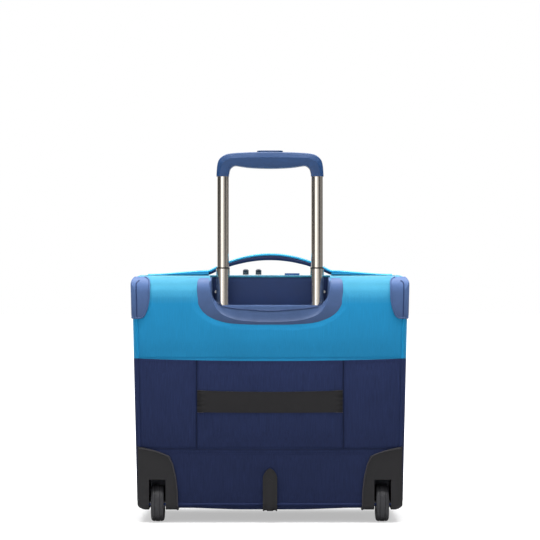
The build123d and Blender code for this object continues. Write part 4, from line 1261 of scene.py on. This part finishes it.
def add_teeth(bm, path, pitch, size, phase=0.0):
    """Add zip teeth along a path, each a small block across the tape."""
    carried = phase
    for start, end in zip(path, path[1:]):
        span = (end - start).length
        if span == 0:
            continue
        along = (end - start) / span
        across = Vector((0, 1, 0))
        turn = Matrix((along, across, along.cross(across))).transposed().to_4x4()
        while carried < span:
            spot = Matrix.Translation(start + along * carried)
            shape = Matrix.Diagonal((*(number * MM for number in size), 1))
            bmesh.ops.create_cube(bm, size=1.0, matrix=spot @ turn @ shape)
            carried += pitch * MM
        carried -= span


def build_zips():
    """Both halves of the main zip and the pocket's zip: woven tape with teeth."""
    hinge = side_run(HINGE_Z)
    runs = (0.0, hinge - 0.004)
    path = chain_path(runs, 0.0, 0.0)
    mouth_case = high("zip_chain_case").y
    mouth_lid = low("zip_chain_lid").y
    for body, y_from, y_to, teeth_y, phase in (
        ("case", CASE_ZIP_Y, mouth_case, mouth_case - 0.4 * MM, 0.0),
        ("lid", mouth_lid, LID_ZIP_Y, mouth_lid + 0.4 * MM, 0.9 * MM),
    ):

        def place(u, v, y_from=y_from, y_to=y_to):
            spot = path[round(u * (len(path) - 1))]
            lift = -1.4 * MM + 0.9 * MM * math.sin(v * math.pi)
            out = Vector((spot.x, 0, spot.z - 0.2)).normalized()
            return Vector((spot.x + out.x * lift, y_from + v * (y_to - y_from), spot.z + out.z * lift))

        tape = thicken(formed(f"zip_half_{body}", len(path) - 1, 4, place, (0, 0, 1)), 1.2 * MM)
        dress(tape, body, finish("coil"), slot="zip_coil", replaces=[f"zip_chain_{body}"])
        bm = bmesh.new()
        add_teeth(bm, chain_path(runs, teeth_y, 0.2 * MM), 1.8, (0.95, 1.6, 1.3), phase)
        bmesh.ops.bevel(bm, geom=bm.edges[:], offset=0.18 * MM, segments=1, profile=0.5, affect="EDGES", material=-1)
        dress(finish_mesh(bm, f"zip_teeth_{body}", 70), body, finish("coil"), slot="zip_coil")
    box_low, box_high = BOXES["face_zip_chain"]
    mid = (box_low.z + box_high.z) / 2
    bm = bmesh.new()
    path = [Vector((box_low.x + (box_high.x - box_low.x) * s / 60, 0, mid)) for s in range(61)]
    for start in range(int((box_high.x - box_low.x) / (1.6 * MM))):
        x = box_low.x + start * 1.6 * MM + 0.8 * MM
        spot = Matrix.Translation(Vector((x, box_high.y - 0.1 * MM, mid)))
        bmesh.ops.create_cube(bm, size=1.0, matrix=spot @ Matrix.Diagonal((0.85 * MM, 0.7 * MM, 3.0 * MM, 1)))
    dress(finish_mesh(bm, "face_zip_teeth", 70), "lid", finish("coil"), slot="zip_coil")
    rows = []
    for z in (box_low.z - 2.4 * MM, box_high.z + 2.4 * MM):
        rows.append([Vector((p.x, LID_Y + 0.75 * MM, z)) for p in path])
    stitched("face_zip_stitching", rows, "lid", finish("thread_turquoise"))


def build_linings():
    """Padded laptop sleeve and the lined wall inside the case."""
    box_low, box_high = BOXES["laptop_sleeve"]
    half = box_high.x
    depth = box_high.y - box_low.y
    mid_y = (box_low.y + box_high.y) / 2

    def cushion(u, v):
        turn = u * 2 * math.pi
        across = signed_power(math.cos(turn), 0.22)
        rise = signed_power(math.sin(turn), 0.35)
        end = min(v, 1 - v)
        plump = 0.55 + 0.45 * smooth(end / 0.06)
        x = across * half * (0.985 + 0.015 * smooth(end / 0.05))
        z = box_low.z + (box_high.z - box_low.z) * v
        quilt = 0.0
        if rise > 0:
            for k in (-3, -2, -1, 0, 1, 2, 3):
                quilt += hump(x + z - 0.165 - k * 60 * MM, 4 * MM) + hump(x - z + 0.165 - k * 60 * MM, 4 * MM)
        y = mid_y + rise * depth / 2 * plump - 1.3 * MM * min(quilt, 1.0)
        return Vector((x, y, z))

    sleeve = stuffed("padded_sleeve", 150, 100, cushion)
    dress(sleeve, "case", finish("lining"), slot="lining", replaces=["laptop_sleeve"])
    mouth = [Vector((-half * 0.985 + 2 * half * 0.985 * s / 40, box_high.y - 0.6 * MM,
                     box_high.z - 0.6 * MM)) for s in range(41)]
    cord("sleeve_binding", mouth, 1.4 * MM, "navy_trim", "fabric_navy")
    wall_low, wall_high = BOXES["inner_wall"]

    def hung(u, v):
        x = wall_low.x + (wall_high.x - wall_low.x) * u
        z = wall_low.z + (wall_high.z - wall_low.z) * v
        limit = outline_half(min(max(z, BOTTOM_Z + 4 * MM), TOP_Z - 4 * MM), 3.4 * MM)
        x = max(-limit, min(limit, x))
        return Vector((x, wall_high.y - 0.2 * MM + 0.2 * MM * wrinkle(x, 0, z, 15, 51.0), z))

    wall = thicken(formed("inner_wall_lining", 90, 70, hung, (0, 1, 0)), 1.2 * MM)
    dress(wall, "case", finish("lining"), slot="lining", replaces=["inner_wall"])


def build_stitching():
    """Stitch rows beside the seams of the rear."""

    def row(points):
        return [Vector((x, roll_y(z, lift), z)) for x, z, lift in points]

    def across(z, bow, half, lift):
        """Row along a bowed seam, out to half on both sides."""
        places = [(2 * s / 90 - 1) * half for s in range(91)]
        return row([(x, z - bow * (1 - (x / WIDE_HALF) ** 2), lift) for x in places])

    inner = CENTRE_HALF
    rows = [across(SEAM_Z - 3.0 * MM, SEAM_BOW, 148 * MM, 0.5 * MM),
            across(SEAM_Z - 5.6 * MM, SEAM_BOW, 146 * MM, 0.5 * MM),
            across(COLOUR_Z - 3.0 * MM, COLOUR_BOW, seam_half(COLOUR_Z) - 4 * MM, 0.5 * MM)]
    for side in (-1, 1):
        for offset in (-3.2, 3.2):
            x = side * (inner + offset * MM)
            rows.append(row([(x, SEAM_Z + 3 * MM + (COLOUR_Z - SEAM_Z - 6 * MM) * s / 40, 0.5 * MM)
                             for s in range(41)]))
    stitched("rear_stitching_navy", rows, "case", finish("thread_navy"))
    z = COLOUR_Z + 3.0 * MM
    rows = [across(z, COLOUR_BOW, seam_half(z) - 4 * MM, 0.6 * MM)]
    stitched("rear_stitching_turquoise", rows, "case", finish("thread_turquoise"))
    # Dark cords along the seam grooves: painted shade.
    for side, word in SIDES:
        points = []
        for step in range(41):
            share = step / 40
            drop = (1 - (inner / WIDE_HALF) ** 2) * (SEAM_BOW * (1 - share) + COLOUR_BOW * share)
            points.append(Vector((side * inner, REAR_Y + 0.25 * MM, SEAM_Z + (COLOUR_Z - SEAM_Z) * share - drop)))
        cord(f"rear_seam_{word}", points, 0.55 * MM, "seam_dark", "fabric_navy")
    points = []
    for step in range(91):
        x = (2 * step / 90 - 1) * seam_half(SEAM_Z)
        points.append(Vector((x, REAR_Y + 0.35 * MM, SEAM_Z - SEAM_BOW * (1 - (x / WIDE_HALF) ** 2))))
    cord("rear_seam_low", points, 0.6 * MM, "seam_dark", "fabric_navy")


# ---- Operators: materials and fabric ----


class Step:
    """What every operator here does: build its pieces in the scene."""

    def execute(self, context):
        self.build(context.scene)
        return {"FINISHED"}


class CASE_OT_materials(Step, bpy.types.Operator):
    """Make every finish of the case and put it on the frame's own parts."""

    bl_idname = "laptop_case.materials"
    bl_label = "Materials"

    def build(self, scene):
        fabric = scene.case_fabric
        mould = scene.case_moulding
        MATERIALS.update(
            # The upper cloth is painted lighter towards the top as light, with a painted highlight on the roll.
            turquoise=woven_cloth("turquoise_cloth", fabric.turquoise, 0.12, sheen=0.45, roughness=0.62,
                                  tint=(0.5, 0.95, 0.95, 1.0), span=(0.25, 0.35, 0.8, 1.1),
                                  roll_highlight=fabric.roll_highlight),
            turquoise_trim=woven_cloth("turquoise_trim", shade(fabric.turquoise, 0.9), 0.1, sheen=0.3),
            # The navy is painted darker, most towards the bottom, as shade.
            navy=woven_cloth("navy_twill", fabric.navy, 0.34, sheen=0.22, span=(0.09, 0.25, 0.64, 0.92)),
            navy_trim=woven_cloth("navy_trim", shade(fabric.navy, 0.8), 0.2, sheen=0.2),
            lining=woven_cloth("lining_cloth", fabric.lining, 0.1, sheen=0.15, roughness=0.85),
            elastic=ribbed_elastic("black_elastic", fabric.band),
            # Painted shade: dark cloth for the cords in the rear's seam grooves.
            seam_dark=woven_cloth("seam_groove_shade_cloth", shade(fabric.navy, 0.42), 0.2, sheen=0.1),
            # The strap's paler colour is painted light.
            strap=woven_cloth("strap_webbing", fabric.strap, 0.1, 0.9 * MM, sheen=0.6,
                              tint=(0.6, 1.0, 0.8, 1.0)),
            pad=woven_cloth("pad_cloth", fabric.pad, 0.25, sheen=0.3),
            thread_dark=woven_cloth("dark_thread", (0.012, 0.012, 0.013), 0.2, 0.3 * MM),
            thread_navy=woven_cloth("navy_thread", shade(fabric.navy, 0.85), 0.2, 0.3 * MM),
            thread_turquoise=woven_cloth("turquoise_thread", shade(fabric.turquoise, 0.85), 0.2, 0.3 * MM),
            # Tray and guards are painted darker towards the bottom and lighter towards the top, as shade and light.
            tray=moulded_plastic("tray_plastic", mould.tray, 0.42, shine=0.24, span=(0.298, 0.35, 0.6, 1.2)),
            guard=moulded_plastic("guard_plastic", mould.tray, 0.45, shine=0.2, span=(0.306, 0.35, 0.85, 1.3)),
            # Painted shade for the well's front wall and the crease cords.
            well=moulded_plastic("well_shade_plastic", mould.well, 0.5),
            grip=moulded_plastic("grip_plastic", mould.grip, 0.4, shine=0.62),
            black=moulded_plastic("black_plastic", mould.black, 0.46, 0.5),
            rim=moulded_plastic("grey_rim_plastic", shade(mould.black, 3.2), 0.5, 0.5),
            hub=moulded_plastic("hub_plastic", shade(mould.black, 3.0), 0.42),
            tube=drawn_steel("tube_steel", mould.steel, 0.14),
            steel=drawn_steel("plain_steel", (0.6, 0.6, 0.6), 0.3),
            rubber=dark_rubber("foot_rubber", (0.022, 0.022, 0.023)),
            tyre=dark_rubber("tyre_rubber", (0.03, 0.03, 0.034), 0.5),
            zinc=cast_metal("dark_zinc", (0.09, 0.09, 0.1)),
            coil=moulded_plastic("zip_coil", (0.02, 0.024, 0.04), 0.4),
            board=moulded_plastic("stiff_board", (0.05, 0.05, 0.055), 0.6),
        )
        by_slot = {
            "fabric_turquoise": "turquoise", "fabric_navy": "navy", "elastic_black": "elastic", "lining": "lining",
            "webbing": "turquoise", "zip_coil": "coil", "board": "board", "tray_plastic": "tray",
            "grip_plastic": "grip", "black_plastic": "black", "hub_plastic": "hub", "tube_steel": "tube",
            "steel": "steel", "slider_metal": "zinc", "rubber": "rubber", "tyre": "tyre",
        }
        for part in frame["record"]["subparts"]:
            made = frame["nodes"][part["node"]]
            name = "guard" if part["node"] == "corner_guards" else by_slot[part["material_slot"]]
            for place in made.material_slots:
                place.material = finish(name)


class CASE_OT_rear_panels(Step, bpy.types.Operator):
    """Sew the five rear panels, rolled over the top edge and open at the tray."""

    bl_idname = "laptop_case.rear_panels"
    bl_label = "Rear panels"

    def build(self, scene):
        build_rear_panels(scene.case_fabric)


class CASE_OT_piping(Step, bpy.types.Operator):
    """Run the piping round the rear edge."""

    bl_idname = "laptop_case.piping"
    bl_label = "Piping"

    def build(self, scene):
        build_piping(scene.case_fabric)


class CASE_OT_gusset(Step, bpy.types.Operator):
    """Shape the top, side and bottom panels."""

    bl_idname = "laptop_case.gusset"
    bl_label = "Gusset"

    def build(self, scene):
        build_gusset(scene.case_fabric)


class CASE_OT_front(Step, bpy.types.Operator):
    """Shape the lid, the strip under it and the slip pocket."""

    bl_idname = "laptop_case.front"
    bl_label = "Front"

    def build(self, scene):
        build_front()
        build_pocket()


class CASE_OT_stitching(Step, bpy.types.Operator):
    """Sew the stitch rows of the rear."""

    bl_idname = "laptop_case.stitching"
    bl_label = "Stitching"

    def build(self, scene):
        build_stitching()


class CASE_OT_tray(Step, bpy.types.Operator):
    """Mould the trolley tray and its tube collars."""

    bl_idname = "laptop_case.tray"
    bl_label = "Trolley tray"

    def build(self, scene):
        build_tray()


class CASE_OT_rims(Step, bpy.types.Operator):
    """Add the raised outlines of the corner guards and wheel housings."""

    bl_idname = "laptop_case.rims"
    bl_label = "Guard and housing rims"

    def build(self, scene):
        build_guard_rims(scene.case_moulding)
        build_housing_rims()


class CASE_OT_grip(Step, bpy.types.Operator):
    """Mould the grip and the paler ring on its button, a painted highlight."""

    bl_idname = "laptop_case.grip"
    bl_label = "Grip"

    def build(self, scene):
        build_grip()


class CASE_OT_tyres(Step, bpy.types.Operator):
    """Turn the two tyres."""

    bl_idname = "laptop_case.tyres"
    bl_label = "Tyres"

    def build(self, scene):
        build_tyres()


class CASE_OT_handle(Step, bpy.types.Operator):
    """Make the padded carry handle and its strap ends."""

    bl_idname = "laptop_case.handle"
    bl_label = "Carry handle"

    def build(self, scene):
        build_handle()


class CASE_OT_band(Step, bpy.types.Operator):
    """Stretch the elastic band across the rear."""

    bl_idname = "laptop_case.band"
    bl_label = "Luggage band"

    def build(self, scene):
        build_band()


class CASE_OT_zips(Step, bpy.types.Operator):
    """Weave the zip tapes and set their teeth."""

    bl_idname = "laptop_case.zips"
    bl_label = "Zips"

    def build(self, scene):
        build_zips()


class CASE_OT_linings(Step, bpy.types.Operator):
    """Quilt the laptop sleeve and hang the inner wall's lining."""

    bl_idname = "laptop_case.linings"
    bl_label = "Linings"

    def build(self, scene):
        build_linings()


# ---- Stage ----


def build_world():
    """White surroundings for the camera, with darker sides that steel reflects."""
    world = bpy.data.worlds.new("studio")
    bpy.context.scene.world = world
    world.use_nodes = True
    tree = world.node_tree
    tree.nodes.clear()

    def add(kind, **links):
        made = tree.nodes.new("ShaderNode" + kind)
        for key, source in links.items():
            tree.links.new(source, made.inputs[int(key[1:])])
        return made

    def ramp(value, numbers):
        made = add("MapRange", _0=value)
        for place, number in enumerate(numbers, 1):
            made.inputs[place].default_value = number
        return made.outputs[0]

    def glow(strength=None):
        made = add("Background")
        made.inputs["Color"].default_value = (1, 1, 1, 1)
        if strength:
            tree.links.new(strength, made.inputs["Strength"])
        return made

    parts = add("SeparateXYZ", _0=tree.nodes.new("ShaderNodeTexCoord").outputs["Generated"])
    sides = add("ValToRGB", _0=ramp(parts.outputs["X"], (-1.0, 1.0, 0.0, 1.0)))
    stops = ((0.0, 0.05), (0.06, 0.06), (0.1, 0.3), (0.17, 0.35), (0.24, 0.85), (0.34, 1.0), (0.6, 0.95),
             (0.7, 0.5), (0.8, 0.09), (0.94, 0.05), (1.0, 0.3))
    for index, (position, value) in enumerate(stops):
        stop = sides.color_ramp.elements[index] if index < 2 else sides.color_ramp.elements.new(position)
        stop.position = position
        stop.color = (value, value * 0.985, value * 0.96, 1)
    level = add("Math", _0=parts.outputs["Z"])
    level.operation = "ABSOLUTE"
    shine = glow(ramp(level.outputs[0], (0.08, 0.3, 1.15, 0.12)))
    tree.links.new(sides.outputs["Color"], shine.inputs["Color"])
    around = glow(ramp(parts.outputs["Z"], (-0.2, 1.0, 0.12, 1.3)))
    path = tree.nodes.new("ShaderNodeLightPath")
    lit = add("MixShader", _0=path.outputs["Is Glossy Ray"], _1=around.outputs[0], _2=shine.outputs[0])
    mixed = add("MixShader", _0=path.outputs["Is Camera Ray"], _1=lit.outputs[0], _2=glow().outputs[0])
    add("OutputWorld", _0=mixed.outputs[0])


def area_light(name, place, aim, size, power, colour=(1, 1, 1)):
    """Rectangular softbox aimed at a point."""
    light = bpy.data.lights.new(name, "AREA")
    light.shape = "RECTANGLE"
    light.size = size[0]
    light.size_y = size[1]
    light.energy = power
    light.color = colour
    holder = bpy.data.objects.new(name, light)
    bpy.context.scene.collection.objects.link(holder)
    holder.location = place
    holder.rotation_euler = (Vector(aim) - Vector(place)).to_track_quat("-Z", "Y").to_euler()


class CASE_OT_stage(Step, bpy.types.Operator):
    """Set up the floor, the softboxes and the camera."""

    bl_idname = "laptop_case.stage"
    bl_label = "Studio"

    def build(self, scene):
        studio = scene.case_studio
        scene.view_settings.view_transform = "Standard"
        build_world()
        bm = bmesh.new()
        bmesh.ops.create_grid(bm, x_segments=1, y_segments=1, size=14.0)
        floor = finish_mesh(bm, "studio_floor")
        paper = Recipe("studio_paper")
        tone = paper.noise((3, 3, 3), 2.0)
        away = paper.node("VectorMath", {"operation": "LENGTH"})
        paper.join(paper.node("TexCoord").outputs["Object"], away.inputs[0])
        seen = paper.node("LightPath").outputs["Is Camera Ray"]
        glow = paper.math("MULTIPLY", paper.spread(away.outputs["Value"], 0.26, 0.5, 0.45, 1.0), seen)
        paper.set(Base_Color=paper.blend(tone, (0.5, 0.5, 0.5, 1), (0.54, 0.54, 0.54, 1)), Roughness=0.9,
                  Specular_IOR_Level=0.1, Emission_Color=(1, 1, 1, 1), Emission_Strength=glow)
        floor.data.materials.append(paper.material)
        centre = (0, REAR_Y, 0.25)
        area_light("overhead", (0.0, -0.1, 1.5), (0, -0.06, 0.2), (1.5, 0.8), studio.key_power)
        area_light("front_fill", (-0.9, -2.4, 0.7), centre, (1.0, 1.2), studio.key_power * 0.12)
        area_light("back", (0.3, 1.9, 1.3), (0, 0, 0.3), (1.6, 1.0), studio.key_power * 0.3)
        camera = bpy.data.cameras.new("camera")
        camera.sensor_width = 36
        camera.lens = 36 * studio.distance / studio.view_width
        camera.clip_end = 60
        holder = bpy.data.objects.new("camera", camera)
        scene.collection.objects.link(holder)
        holder.location = (0, REAR_Y - studio.distance, studio.eye_height)
        holder.rotation_euler = (math.pi / 2, 0, 0)
        scene.camera = holder


# ---- Panel and registration ----

STEPS = (
    CASE_OT_stage, CASE_OT_materials, CASE_OT_rear_panels, CASE_OT_piping, CASE_OT_gusset, CASE_OT_front,
    CASE_OT_stitching, CASE_OT_tray, CASE_OT_rims, CASE_OT_grip, CASE_OT_tyres, CASE_OT_handle, CASE_OT_band,
    CASE_OT_zips, CASE_OT_linings,
)


class CASE_PT_sidebar(bpy.types.Panel):
    """Sidebar panel that lists the settings and the steps."""

    bl_idname = "CASE_PT_sidebar"
    bl_label = "Laptop Case"
    bl_space_type = "VIEW_3D"
    bl_region_type = "UI"
    bl_category = "Laptop Case"

    def draw(self, context):
        layout = self.layout
        for group in (context.scene.case_fabric, context.scene.case_moulding, context.scene.case_studio):
            box = layout.box()
            for key in group.__annotations__:
                box.prop(group, key)
        for step in STEPS:
            layout.operator(step.bl_idname)


GROUPS = (("case_fabric", FabricSettings), ("case_moulding", MouldingSettings), ("case_studio", StudioSettings))


def register():
    """Register the settings, operators and panel."""
    for key, group in GROUPS:
        bpy.utils.register_class(group)
        setattr(bpy.types.Scene, key, bpy.props.PointerProperty(type=group))
    for step in STEPS:
        bpy.utils.register_class(step)
    bpy.utils.register_class(CASE_PT_sidebar)


def unregister():
    """Take back everything that register adds."""
    bpy.utils.unregister_class(CASE_PT_sidebar)
    for step in reversed(STEPS):
        bpy.utils.unregister_class(step)
    for key, group in reversed(GROUPS):
        delattr(bpy.types.Scene, key)
        bpy.utils.unregister_class(group)


def main():
    """Build every piece in order."""
    register()
    for step in STEPS:
        area, action = step.bl_idname.split(".")
        getattr(getattr(bpy.ops, area), action)()


if __name__ == "__main__":
    main()
